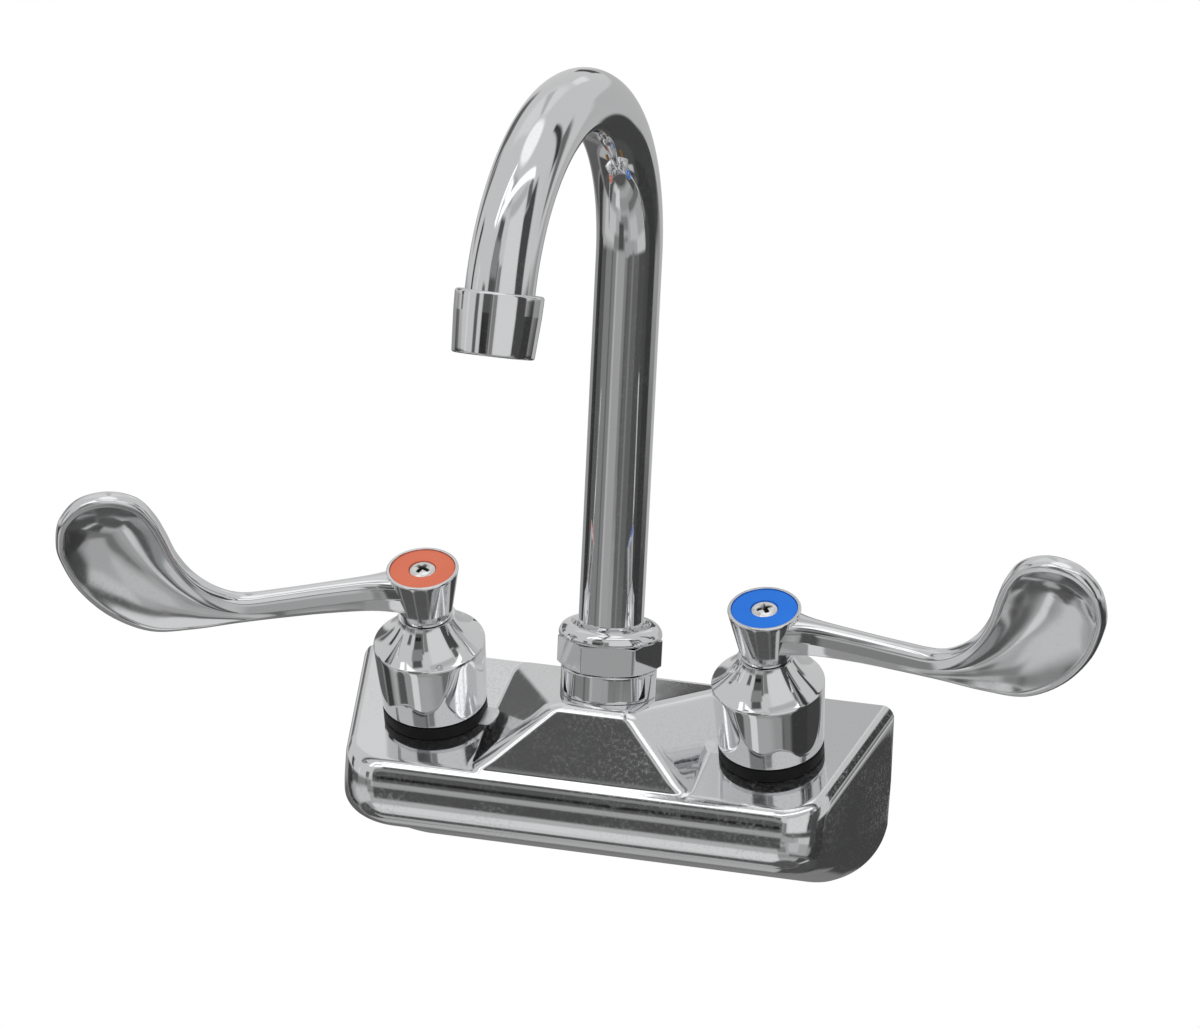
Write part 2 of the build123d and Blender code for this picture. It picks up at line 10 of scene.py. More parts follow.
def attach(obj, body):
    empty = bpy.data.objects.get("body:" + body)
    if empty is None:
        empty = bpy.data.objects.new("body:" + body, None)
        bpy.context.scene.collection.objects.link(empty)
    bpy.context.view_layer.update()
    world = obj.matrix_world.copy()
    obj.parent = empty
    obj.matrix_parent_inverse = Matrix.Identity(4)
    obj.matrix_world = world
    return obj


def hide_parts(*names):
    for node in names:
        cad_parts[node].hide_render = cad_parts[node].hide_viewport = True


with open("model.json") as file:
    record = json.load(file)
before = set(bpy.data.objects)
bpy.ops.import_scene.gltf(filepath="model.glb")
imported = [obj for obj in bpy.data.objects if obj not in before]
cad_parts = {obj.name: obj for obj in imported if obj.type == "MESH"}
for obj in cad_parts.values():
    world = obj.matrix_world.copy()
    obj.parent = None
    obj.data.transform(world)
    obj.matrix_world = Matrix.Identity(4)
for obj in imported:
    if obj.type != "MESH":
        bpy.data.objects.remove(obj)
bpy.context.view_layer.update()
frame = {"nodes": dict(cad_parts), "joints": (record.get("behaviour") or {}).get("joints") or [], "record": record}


# The cast body: one brass casting with a sloping deck, a rolled front, drafted ends and a faceted
# pedestal for the spout. It is hollow behind, ribbed, polished and chrome plated, and it lies
# against the wall with its open back.
MM = 0.001
CHROME_TONE = (0.80, 0.805, 0.815, 1.0)
SPECK_TONE = (0.70, 0.71, 0.72, 1.0)
SPECK_SCALE = 1050.0
SPECK_RUN = (0.46, 0.74)
PATCH_RUN = (0.30, 0.64)
RIPPLE_SCALE = 90.0
PIT_ROUGH = 0.16
PIT_DULL = 0.13


def new_group(name, inputs, outputs):
    """An empty shader node group with number sockets, and its two ends, ready to be filled."""
    group = bpy.data.node_groups.new(name, "ShaderNodeTree")
    for label in inputs:
        group.interface.new_socket(label, in_out="INPUT", socket_type="NodeSocketFloat")
    for label in outputs:
        group.interface.new_socket(label, in_out="OUTPUT", socket_type="NodeSocketFloat")
    return group, group.nodes.new("NodeGroupInput"), group.nodes.new("NodeGroupOutput")


def add_node(tree, kind, links=(), **values):
    """A node with its properties set and its inputs linked or given values."""
    node = tree.nodes.new(kind)
    for key, value in values.items():
        setattr(node, key, value)
    for socket, source in links:
        if isinstance(source, bpy.types.NodeSocket):
            tree.links.new(source, node.inputs[socket])
        else:
            node.inputs[socket].default_value = source
    return node


def sum_node(tree, operation, *values):
    """The result of one sum on numbers or sockets."""
    return add_node(tree, "ShaderNodeMath", enumerate(values), operation=operation).outputs[0]


def noise_node(tree, place, scale, detail):
    """Cloudy noise between nought and one."""
    links = [("Vector", place), ("Scale", scale), ("Detail", detail)]
    return add_node(tree, "ShaderNodeTexNoise", links).outputs["Fac"]


def range_node(tree, value, run, ends=(0.0, 1.0), kind="LINEAR"):
    """A value carried from one run of numbers to another, and held at its ends."""
    links = zip(("Value", "From Min", "From Max", "To Min", "To Max"), (value, *run, *ends))
    return add_node(tree, "ShaderNodeMapRange", links, interpolation_type=kind).outputs["Result"]


def tone_node(tree, share, first, second):
    """A colour between two others."""
    links = [("Factor", share), ("A", first), ("B", second)]
    return add_node(tree, "ShaderNodeMix", links, data_type="RGBA").outputs[2]


def polish_group():
    """Polishing marks: slow cloudiness of the plate, fine specks and faint ripples of the buffed metal."""
    group, given, made = new_group(
        "polish_marks", ("Cloud Size", "Haze", "Clear", "Specks"), ("Tone", "Roughness", "Ripple")
    )
    place = add_node(group, "ShaderNodeTexCoord").outputs["Object"]
    cloud = noise_node(group, place, given.outputs["Cloud Size"], 3.0)
    speck = range_node(group, noise_node(group, place, SPECK_SCALE, 3.0), SPECK_RUN)
    patch = range_node(group, cloud, PATCH_RUN)
    speck = sum_node(group, "MULTIPLY", speck, given.outputs["Specks"])
    speck = sum_node(group, "MULTIPLY", speck, patch)
    hazy = sum_node(group, "MULTIPLY", cloud, given.outputs["Haze"])
    rough = sum_node(group, "ADD", hazy, given.outputs["Clear"])
    rough = sum_node(group, "MULTIPLY_ADD", speck, PIT_ROUGH, rough)
    group.links.new(speck, made.inputs["Tone"])
    group.links.new(rough, made.inputs["Roughness"])
    group.links.new(noise_node(group, place, RIPPLE_SCALE, 1.0), made.inputs["Ripple"])
    return group


polish = polish_group()


def new_material(name):
    """A material with a plain Principled shader, and its tree and shader."""
    material = bpy.data.materials.new(name)
    material.use_nodes = True
    return material, material.node_tree, material.node_tree.nodes["Principled BSDF"]


def marked_material(name, cloud, haze, clear, specks):
    """A material whose roughness follows the polishing marks, with its tree, shader and marks."""
    material, tree, shader = new_material(name)
    values = [("Cloud Size", cloud), ("Haze", haze), ("Clear", clear), ("Specks", specks)]
    marks = add_node(tree, "ShaderNodeGroup", values, node_tree=polish).outputs
    tree.links.new(marks["Roughness"], shader.inputs["Roughness"])
    return material, tree, shader, marks


def chrome_finish(name, haze=0.02, clear=0.03, specks=0.1, ripple=0.0, cloud=60.0):
    """Bright chrome plate, with more or less haze, specks and ripple from its polishing."""
    material, tree, shader, marks = marked_material(name, cloud, haze, clear, specks)
    tone = tone_node(tree, marks["Tone"], CHROME_TONE, SPECK_TONE)
    metal = sum_node(tree, "MULTIPLY_ADD", marks["Tone"], -PIT_DULL, 1.0)
    tree.links.new(tone, shader.inputs["Base Color"])
    tree.links.new(metal, shader.inputs["Metallic"])
    if ripple:
        links = [("Strength", 1.0), ("Distance", ripple), ("Height", marks["Ripple"])]
        bump = add_node(tree, "ShaderNodeBump", links)
        tree.links.new(bump.outputs["Normal"], shader.inputs["Normal"])
    return material


SAME_POINT = 2e-6
NO_LENGTH = 1e-7


def put_piece(name, grids, material, body, slot, *replaced, crease=35.0):
    """Grids of points in millimetres become one mesh in metres: each grid cell is a quad, equal
    points are merged, and edges sharper than the crease angle stay crisp."""
    points, quads, base = [], [], 0
    for grid in grids:
        rows, cols = grid.shape[:2]
        index = np.arange(rows * cols).reshape(rows, cols) + base
        corners = [index[:-1, :-1], index[:-1, 1:], index[1:, 1:], index[1:, :-1]]
        quads.append(np.stack(corners, axis=-1).reshape(-1, 4))
        points.append(grid.reshape(-1, 3) * MM)
        base += rows * cols
    mesh = bpy.data.meshes.new(name)
    mesh.from_pydata(np.concatenate(points), [], np.concatenate(quads))
    shape = bmesh.new()
    shape.from_mesh(mesh)
    bmesh.ops.remove_doubles(shape, verts=shape.verts, dist=SAME_POINT)
    bmesh.ops.dissolve_degenerate(shape, edges=shape.edges, dist=NO_LENGTH)
    bmesh.ops.recalc_face_normals(shape, faces=shape.faces)
    shape.to_mesh(mesh)
    shape.free()
    mesh.shade_smooth()
    mesh.set_sharp_from_angle(angle=math.radians(crease))
    mesh.materials.append(material)
    piece = bpy.data.objects.new(name, mesh)
    bpy.context.scene.collection.objects.link(piece)
    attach(piece, body)
    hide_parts(*replaced)
    return piece


def round_both(a, b, radius):
    """The inside of two bounds, with the edge between them rounded: distances add up as on a circle."""
    corner = np.hypot(np.maximum(a + radius, 0), np.maximum(b + radius, 0))
    return np.minimum(np.maximum(a, b), -radius) + corner


BODY_HALF = 81.3
BODY_TOP = 28.5
BODY_BOTTOM = -28.0
DECK_TILT = math.radians(22.0)
END_DRAFT = math.radians(11.8)
BOTTOM_SLOPE = math.radians(17.5)
BOTTOM_CORNER = 24.0
LIP_Y = -50.9
FRONT_Y = -55.5
FRONT_ROLL = 16.0
FRONT_CORNER = 10.0
CORNER_FADE = 25.0
BACK_SHARE = 0.02
BACK_CORNER = 0.2
EDGE_ROUND = 2.2
END_EDGE_ROUND = 4.2
END_EDGE_RUN = 12.0
VALLEY_ROUND = 0.4
CAST_WALL = 5.0
CORE_Z = 6.0
RAY_LONG = 90.0
HALVINGS = 40
NO_REACH = 0.01
TRIAL_RAYS = 2000
OUTER_RAYS = 222
INNER_RAYS = 44
PLAIN_X = 50.0
RIM_FLAT = 0.02
LIP_Z = BODY_TOP + LIP_Y * math.tan(DECK_TILT)
FRONT_Z = BODY_BOTTOM - FRONT_Y * math.tan(BOTTOM_SLOPE)
LIP_STRIP = 1.4
PEDESTAL_TOP = np.array([11.5, -39.4 + LIP_STRIP, BODY_TOP])
PEDESTAL_FOOT = np.array([32.9, LIP_Y + LIP_STRIP, LIP_Z + LIP_STRIP * math.tan(DECK_TILT)])
PEDESTAL_BACK = np.array([33.4, 0.0, BODY_TOP])


def plane_through(p, q, r):
    """Unit normal and offset of the plane through three points, counter-clockwise from outside."""
    normal = np.cross(q - p, r - p)
    normal = normal / np.linalg.norm(normal)
    return normal, normal @ p


def body_bound(x, y, z, inset=0.0):
    """Below zero inside the casting: the deck or the pedestal above, the rolled front and bottom, and
    the drafted ends with their large bottom corners, all with rounded edges."""
    across = np.abs(x)
    deck = (z - BODY_TOP) * math.cos(DECK_TILT) - y * math.sin(DECK_TILT)
    slope, reach = plane_through(PEDESTAL_TOP, PEDESTAL_TOP * (-1, 1, 1), PEDESTAL_FOOT)
    front_face = slope[1] * y + slope[2] * z - reach
    side, out = plane_through(PEDESTAL_TOP, PEDESTAL_FOOT, PEDESTAL_BACK)
    flank = side[0] * across + side[1] * y + side[2] * z - out
    pedestal = round_both(round_both(front_face, flank, EDGE_ROUND), z - BODY_TOP, EDGE_ROUND)
    top = -round_both(-deck, -pedestal, VALLEY_ROUND)
    lip = np.array([0.0, LIP_Y, LIP_Z])
    nose = np.array([0.0, FRONT_Y, FRONT_Z])
    face, face_out = plane_through(lip, lip - (1, 0, 0), nose)
    front = face[1] * y + face[2] * z - face_out
    bottom = -(z - BODY_BOTTOM) * math.cos(BOTTOM_SLOPE) - y * math.sin(BOTTOM_SLOPE)
    shell = round_both(front + inset, bottom + inset, max(FRONT_ROLL - inset, 1.0))
    away = np.hypot(
        np.maximum(across - BODY_HALF + BOTTOM_CORNER, 0),
        np.maximum(BODY_BOTTOM + BOTTOM_CORNER - z, 0),
    )
    ends = (away - BOTTOM_CORNER - y * math.tan(END_DRAFT)) * math.cos(END_DRAFT)
    corner = np.maximum(FRONT_CORNER * np.clip(-y / CORNER_FADE, BACK_SHARE, 1) - inset, BACK_CORNER)
    shell = round_both(shell, ends + inset, corner)
    near_end = np.clip(1 + ends / END_EDGE_RUN, 0, 1)
    edge = EDGE_ROUND + (END_EDGE_ROUND - EDGE_ROUND) * near_end
    return round_both(shell, top + inset, edge)


def spread_evenly(points, count):
    """Parameters along a curve so that equal steps are equal lengths."""
    step = np.linalg.norm(np.diff(points, axis=0), axis=1)
    length = np.concatenate([[0], np.cumsum(step)])
    return np.interp(np.linspace(0, length[-1], count), length, np.linspace(0, 1, len(points)))


def body_skin(stations, turns, inset):
    """At each station along the wall line, rays fan out from the wall line in a half turn, and each is
    followed by halving steps to the place where the casting's bound is zero."""
    x, angle = np.meshgrid(stations, turns, indexing="ij")
    low = np.zeros_like(x)
    high = np.full_like(x, RAY_LONG)
    for _ in range(HALVINGS):
        middle = (low + high) / 2
        inside = body_bound(x, -middle * np.sin(angle), CORE_Z + middle * np.cos(angle), inset) < 0
        low = np.where(inside, middle, low)
        high = np.where(inside, high, middle)
    reach = np.where(low < NO_REACH, 0.0, low)
    return np.stack([x, -reach * np.sin(angle), CORE_Z + reach * np.cos(angle)], axis=-1)


def half_turns(count):
    """Ray directions that space the points evenly along the casting's side profile."""
    even = np.linspace(0, math.pi, TRIAL_RAYS)
    profile = body_skin(np.array([PLAIN_X]), even, 0.0)[0]
    return np.interp(spread_evenly(profile, count), np.linspace(0, 1, len(even)), even)


# Runs of stations across the body, closer on the pedestal and at the rounded ends: from, to and number
STATION_RUNS = (
    (-BODY_HALF, -68.0, 60),
    (-68.0, -56.0, 30),
    (-56.0, -36.0, 24),
    (-36.0, 36.0, 145),
    (36.0, 56.0, 24),
    (56.0, 68.0, 30),
    (68.0, BODY_HALF, 60),
)
wide = np.concatenate([np.linspace(*run)[:-1] for run in STATION_RUNS] + [[BODY_HALF]])
outer = body_skin(wide, half_turns(OUTER_RAYS), 0.0)
inner = body_skin(wide, half_turns(INNER_RAYS), CAST_WALL)[:, ::-1]
rim = [np.stack([outer[:, 0], inner[:, -1]], axis=1), np.stack([inner[:, 0], outer[:, -1]], axis=1)]
chrome_body = chrome_finish("chrome_body", haze=0.05, clear=0.035, specks=0.8, ripple=0.00003, cloud=45.0)
rough_plate = chrome_finish("chrome_rough_back", haze=0.3, clear=0.22, specks=0.8, ripple=0.0002, cloud=180.0)
casting = put_piece("cast_body", [outer, inner, *rim], chrome_body, "body", "chrome", "valve_body").data
casting.materials.append(rough_plate)
middles = np.empty(3 * len(casting.polygons))
casting.polygons.foreach_get("center", middles)
x, y, z = middles.reshape(-1, 3).T / MM
unpolished = (body_bound(x, y, z) < -CAST_WALL / 2) | (y > -RIM_FLAT)
casting.polygons.foreach_set("material_index", unpolished.astype(np.int32))


# The ribs, cups and channel behind the body: parts of the same casting that stiffen the hollow back,
# hold the inlets, the valves and the spout's socket, and lead the water between them. They are left
# rough from the mould, with only a thin flash of plate.
VALVES = {
    joint["name"].split("_")[0]: (np.array(joint["pos_m"]) / MM, np.array(joint["axis"]))
    for joint in frame["joints"]
    if joint["name"] != "spout_swivel"
}
INLET_X = abs(VALVES["hot"][0][0])
WEB_HALF = 70.0
WEB_DEEP = 40.0
WEB_BACK = 1.2
RIB_X = 33.0
RIB_HALF = 2.0
RIB_DEEP = 30.0
RIB_BACK = 1.7
RIB_HEIGHTS = (-14.0, 12.0)
BOX_ROWS = 8
CUP_R = 12.9
CUP_HOLE = 9.45
CUP_FACE_R = 11.0
CUP_FACE_DEEP = 0.6
CUP_DEPTH = 30.0
VALVE_CUP_R = 13.9
VALVE_CUP_FOOT = -29.4
VALVE_CUP_TOP = -3.0
VALVE_HOLE = 10.5
VALVE_SEAT = (6.5, -11.0)
VALVE_FLOOR = -26.0
SOCKET_Y = -20.9
SOCKET_R = 11.45
SOCKET_FOOT = 1.1
SOCKET_TOP = 26.0
SOCKET_HOLE = 8.05
SOCKET_LEDGE = (5.5, 17.2)
SOCKET_FLOOR = 4.5
CHANNEL_R = 7.9
CHANNEL_Y = -23.0
CHANNEL_Z = 12.0


def box_grid(low, high):
    """A closed box as one band of four sides and two end caps that shrink to their middle lines."""
    (x0, y0, z0), (x1, y1, z1) = low, high
    around = np.array([(x0, z0), (x1, z0), (x1, z1), (x0, z1), (x0, z0)])
    depth = np.repeat(np.linspace(y0, y1, BOX_ROWS)[:, None], len(around), axis=1)
    band = np.stack([around[:, 0] + 0 * depth, depth, around[:, 1] + 0 * depth], axis=-1)
    middle = np.array([(x0 + x1) / 2, 0.0, (z0 + z1) / 2])
    caps = [np.stack([row, np.broadcast_to(middle + (0, row[0, 1], 0), row.shape)]) for row in band[[0, -1]]]
    return [band, *caps]


def turned(profile, origin, axis, count=96):
    """A profile of radius and height pairs goes round an axis: each pair becomes a circle."""
    axis = np.asarray(axis, float)
    side = np.cross(axis, (1.0, 0.0, 0.0) if abs(axis[0]) < 0.8 else (0.0, 1.0, 0.0))
    side = side / np.linalg.norm(side)
    ahead = np.cross(axis, side)
    angle = np.linspace(0, 2 * math.pi, count + 1)
    angle[-1] = 0.0
    round_dir = np.cos(angle)[:, None] * side + np.sin(angle)[:, None] * ahead
    radius, height = np.asarray(profile, float).T
    return np.asarray(origin, float) + radius[:, None, None] * round_dir + height[:, None, None] * axis


def rounded(*corners, step=1.2, arc=8):
    """A line of radius and height corners, each with its own rounding: the corner is cut back along
    both sides and an arc is drawn between; long straight stretches get points between."""
    points = np.array([c[:2] for c in corners], float)
    radii = [c[2] if len(c) > 2 else 0.0 for c in corners]
    line = [points[:1]]
    for k in range(1, len(points) - 1):
        before = points[k - 1] - points[k]
        after = points[k + 1] - points[k]
        before, after = before / np.linalg.norm(before), after / np.linalg.norm(after)
        half = math.acos(np.clip(before @ after, -1, 1)) / 2
        if radii[k] <= 0 or half > 1.56:
            line.append(points[k : k + 1])
            continue
        cut = radii[k] / math.tan(half)
        middle = before + after
        centre = points[k] + middle / np.linalg.norm(middle) * radii[k] / math.sin(half)
        share = np.linspace(0, 1, arc)[:, None]
        chord = (points[k] + before * cut) * (1 - share) + (points[k] + after * cut) * share - centre
        line.append(centre + chord / np.linalg.norm(chord, axis=1)[:, None] * radii[k])
    line.append(points[-1:])
    line = np.concatenate(line)
    gap = np.linalg.norm(np.diff(line, axis=0), axis=1)
    count = np.maximum(np.ceil(gap / step).astype(int), 1)
    place = np.concatenate([k + np.arange(n) / n for k, n in enumerate(count)] + [[len(line) - 1.0]])
    knots = np.arange(len(line))
    return np.stack([np.interp(place, knots, line[:, 0]), np.interp(place, knots, line[:, 1])], axis=-1)


webs = box_grid((-WEB_HALF, -WEB_DEEP, -RIB_HALF), (WEB_HALF, -WEB_BACK, RIB_HALF))
for rib_x in (0.0, -RIB_X, RIB_X, -INLET_X, INLET_X):
    low = (rib_x - RIB_HALF, -RIB_DEEP, RIB_HEIGHTS[0])
    webs += box_grid(low, (rib_x + RIB_HALF, -RIB_BACK, RIB_HEIGHTS[1]))
inlet_cup = rounded(
    (CUP_HOLE, -CUP_DEPTH),
    (CUP_R, -CUP_DEPTH),
    (CUP_R, 0.0, 0.5),
    (CUP_FACE_R, 0.0),
    (CUP_FACE_R, -CUP_FACE_DEEP),
    (CUP_HOLE, -CUP_FACE_DEEP),
    (CUP_HOLE, -CUP_DEPTH),
)
webs += [turned(inlet_cup, (side * INLET_X, 0.0, 0.0), (0, 1, 0)) for side in (-1, 1)]
valve_cup = rounded(
    (0.0, VALVE_CUP_FOOT),
    (VALVE_CUP_R, VALVE_CUP_FOOT, 1.5),
    (VALVE_CUP_R, VALVE_CUP_TOP),
    (VALVE_HOLE, VALVE_CUP_TOP),
    (VALVE_HOLE, VALVE_SEAT[1]),
    VALVE_SEAT,
    (VALVE_SEAT[0], VALVE_FLOOR),
    (0.0, VALVE_FLOOR),
)
webs += [turned(valve_cup, foot, axis) for foot, axis in VALVES.values()]
socket = rounded(
    (0.0, SOCKET_FOOT),
    (SOCKET_R, SOCKET_FOOT, 1.5),
    (SOCKET_R, SOCKET_TOP),
    (SOCKET_HOLE, SOCKET_TOP),
    (SOCKET_HOLE, SOCKET_LEDGE[1]),
    SOCKET_LEDGE,
    (SOCKET_LEDGE[0], SOCKET_FLOOR),
    (0.0, SOCKET_FLOOR),
)
webs.append(turned(socket, (0.0, SOCKET_Y, 0.0), (0, 0, 1)))
channel = rounded((0.0, -INLET_X), (CHANNEL_R, -INLET_X), (CHANNEL_R, INLET_X), (0.0, INLET_X), step=4.0)
webs.append(turned(channel, (0.0, CHANNEL_Y, CHANNEL_Z), (1, 0, 0)))
put_piece("cast_webs", webs, rough_plate, "body", "chrome", "valve_body")


# The inlet shanks: two brass pipe stubs with a half-inch parallel pipe thread cut along them, screwed
# and sealed into the back of the casting, for the supply pipes behind the wall.
SHANK_R = 10.48
SHANK_BORE = 7.0
SHANK_END = 38.0
SHANK_START = -8.0
THREAD_START = 0.6
THREAD_PITCH = 1.814
THREAD_DEEP = 1.16
THREAD_CHAMFER = 1.2
NECK_R = 9.32
TIP_R = 9.28
BORE_CHAMFER = 0.4
SHANK_STEPS = 72
TOOL_HAZE = 0.18
TOOL_SPECKS = 0.6
BRASS_TONE = (0.66, 0.47, 0.22, 1.0)
BRASS_DARK = (0.42, 0.28, 0.12, 1.0)


def machined_finish(name, tone, dark, clear, metal=1.0, size=220.0, shine=0.5):
    """A turned or moulded surface: fine uneven tone and roughness from the tool and from handling."""
    material, tree, shader, marks = marked_material(name, size, TOOL_HAZE, clear, TOOL_SPECKS)
    tree.links.new(tone_node(tree, marks["Ripple"], tone, dark), shader.inputs["Base Color"])
    shader.inputs["Metallic"].default_value = metal
    shader.inputs["Specular IOR Level"].default_value = shine
    return material


def threaded(rows):
    """A screw thread: radius is the crest less a rounded groove that climbs one pitch each turn, and
    it runs out in a chamfer at the far end."""
    along = np.linspace(THREAD_START, SHANK_END, rows)[:, None]
    angle = np.linspace(0, 2 * math.pi, SHANK_STEPS + 1)[None, :]
    groove = 0.5 + 0.5 * np.cos(2 * math.pi * (along / THREAD_PITCH - angle / (2 * math.pi)))
    radius = SHANK_R - THREAD_DEEP * groove
    limit = SHANK_R - THREAD_CHAMFER + np.maximum(SHANK_END - along, 0)
    start = SHANK_R - THREAD_DEEP + np.maximum(along - THREAD_START, 0)
    radius = np.minimum(np.minimum(radius, limit), start)
    return np.stack([radius * np.cos(angle), along + 0 * angle, radius * np.sin(angle)], axis=-1)


brass = machined_finish("brass_turned", BRASS_TONE, BRASS_DARK, 0.16)
neck = rounded((SHANK_BORE, SHANK_START), (NECK_R, SHANK_START), (NECK_R, THREAD_START))
tip = rounded(
    (TIP_R, SHANK_END),
    (SHANK_BORE + BORE_CHAMFER, SHANK_END),
    (SHANK_BORE, SHANK_END - BORE_CHAMFER),
    (SHANK_BORE, SHANK_START),
)
shank = [threaded(270), *(turned(line, (0, 0, 0), (0, 1, 0), SHANK_STEPS) for line in (neck, tip))]
for name, side in (("hot", -1), ("cold", 1)):
    put_piece(
        f"{name}_threaded_shank",
        [grid + np.array([side * INLET_X, 0.0, 0.0]) for grid in shank],
        brass,
        "body",
        "brass",
        f"{name}_inlet_shank",
        crease=50.0,
    )


# Inside each valve: a brass cartridge with a pair of lapped ceramic discs, its stem, its rubber seals
# and a spring clip, screwed into the chamber under the bell. Under the spout: its plug, its seals,
# a plastic bearing and a thrust ring. They are turned, moulded or pressed parts, hidden when assembled.
RUBBER_TONE = (0.004, 0.004, 0.005, 1.0)
RUBBER_WORN = (0.010, 0.010, 0.011, 1.0)
RUBBER_SHINE = 0.22
CERAMIC_TONE = (0.86, 0.84, 0.78, 1.0)
CERAMIC_DARK = (0.72, 0.69, 0.62, 1.0)
STEEL_TONE = (0.60, 0.60, 0.61, 1.0)
STEEL_DARK = (0.42, 0.42, 0.44, 1.0)
PLASTIC_TONE = (0.82, 0.82, 0.80, 1.0)
PLASTIC_DARK = (0.70, 0.70, 0.68, 1.0)
inside = {
    "brass": brass,
    "black_rubber": machined_finish(
        "rubber_moulded", RUBBER_TONE, RUBBER_WORN, 0.42, metal=0.0, shine=RUBBER_SHINE
    ),
    "ceramic": machined_finish("ceramic_lapped", CERAMIC_TONE, CERAMIC_DARK, 0.1, metal=0.0),
    "steel": machined_finish("steel_pressed", STEEL_TONE, STEEL_DARK, 0.2),
    "white_plastic": machined_finish("plastic_moulded", PLASTIC_TONE, PLASTIC_DARK, 0.3, metal=0.0),
}
for row in frame["record"]["subparts"]:
    if row["material_slot"] in inside:
        finishes = frame["nodes"][row["node"]].data.materials
        finishes.clear()
        finishes.append(inside[row["material_slot"]])


# The base gaskets: flat moulded rings of black rubber that lie on the sloping deck, one round each valve.
# The bells press them down and seal the openings.
GASKET_R = 15.3
GASKET_IN = 12.6
GASKET_FOOT = 0.02
GASKET_HIGH = 3.8
GASKET_SEAM = 1.0
GASKET_EDGE = 0.5
ring = rounded(
    (GASKET_IN, GASKET_SEAM),
    (GASKET_IN, GASKET_FOOT),
    (GASKET_R, GASKET_FOOT, GASKET_EDGE),
    (GASKET_R, GASKET_HIGH, GASKET_EDGE),
    (GASKET_IN, GASKET_HIGH),
    (GASKET_IN, GASKET_SEAM),
)
for name, (foot, axis) in VALVES.items():
    put_piece(
        f"{name}_gasket_ring",
        [turned(ring, foot, axis)],
        inside["black_rubber"],
        "body",
        "black_rubber",
        f"{name}_base_gasket",
    )


# The bells: turned and chrome plated brass covers over the cartridges, straight with a slight flare,
# then a hollowed cone up to the neck where the handle comes out. They screw down on the gaskets.
BELL_FOOT_R = 15.4
BELL_BEVEL = 0.9
BELL_SHOULDER = (16.35, 25.0)
BELL_NECK = (8.2, 34.5)
BELL_HOLE = 7.1
BELL_HOLLOW = (0.8, 0.6)
BELL_BORE = 12.8
BELL_SEAM = 6.0
BORE_TOP = 24.0
HOLE_FOOT = 31.0
CONE_START = 0.06


def bell_profile():
    """Foot, flaring side, rounded shoulder, hollowed cone as a parabola below its chord, neck, bore."""
    share = np.linspace(CONE_START, 1, 24)
    cone = np.outer(1 - share, BELL_SHOULDER) + np.outer(share, BELL_NECK)
    cone -= np.outer(4 * share * (1 - share), BELL_HOLLOW)
    side = rounded(
        (BELL_BORE, BELL_SEAM),
        (BELL_BORE, GASKET_HIGH),
        (BELL_FOOT_R - BELL_BEVEL, GASKET_HIGH, 0.2),
        (BELL_FOOT_R, GASKET_HIGH + BELL_BEVEL, 0.3),
        (*BELL_SHOULDER, 0.9),
        cone[0],
    )
    hollow = rounded(
        BELL_NECK,
        (BELL_HOLE, BELL_NECK[1]),
        (BELL_HOLE, HOLE_FOOT),
        (BELL_BORE, BORE_TOP),
        (BELL_BORE, BELL_SEAM),
    )
    return np.concatenate([side, cone[1:], hollow[1:]])


chrome_bell = chrome_finish("chrome_bell", haze=0.012, clear=0.028, specks=0.15, ripple=0.00003)
for name, (foot, axis) in VALVES.items():
    put_piece(
        f"{name}_bell_cover",
        [turned(bell_profile(), foot, axis, 144)],
        chrome_bell,
        "body",
        "chrome",
        f"{name}_bell",
    )


# The wrist-blade handles: die castings, chrome plated. A tapered hub sits on the stem; a ridged arm runs
# out of it and turns up into a dished blade with a raised rim, so that a wrist can push it.
HANDLE_TURN = {"hot": (-1, math.radians(23.0)), "cold": (1, math.radians(9.3))}
HUB_FOOT = (7.4, 34.7)
HUB_RIM = (10.6, 50.8)
HUB_POCKET = (9.55, 48.8)
HUB_SOCKET = (6.6, 36.5)
EDGE_RUN = 0.5
EDGE_BACK = -2.6
SPINE_GAP = 0.05
DISH_POWER = 2.0
BACK_POWER = 2.5
RIB_STEPS = 14
DULL_RUN = (0.098, 0.122)
DULL_SCALE = 110.0
DISH_DULL = 0.14
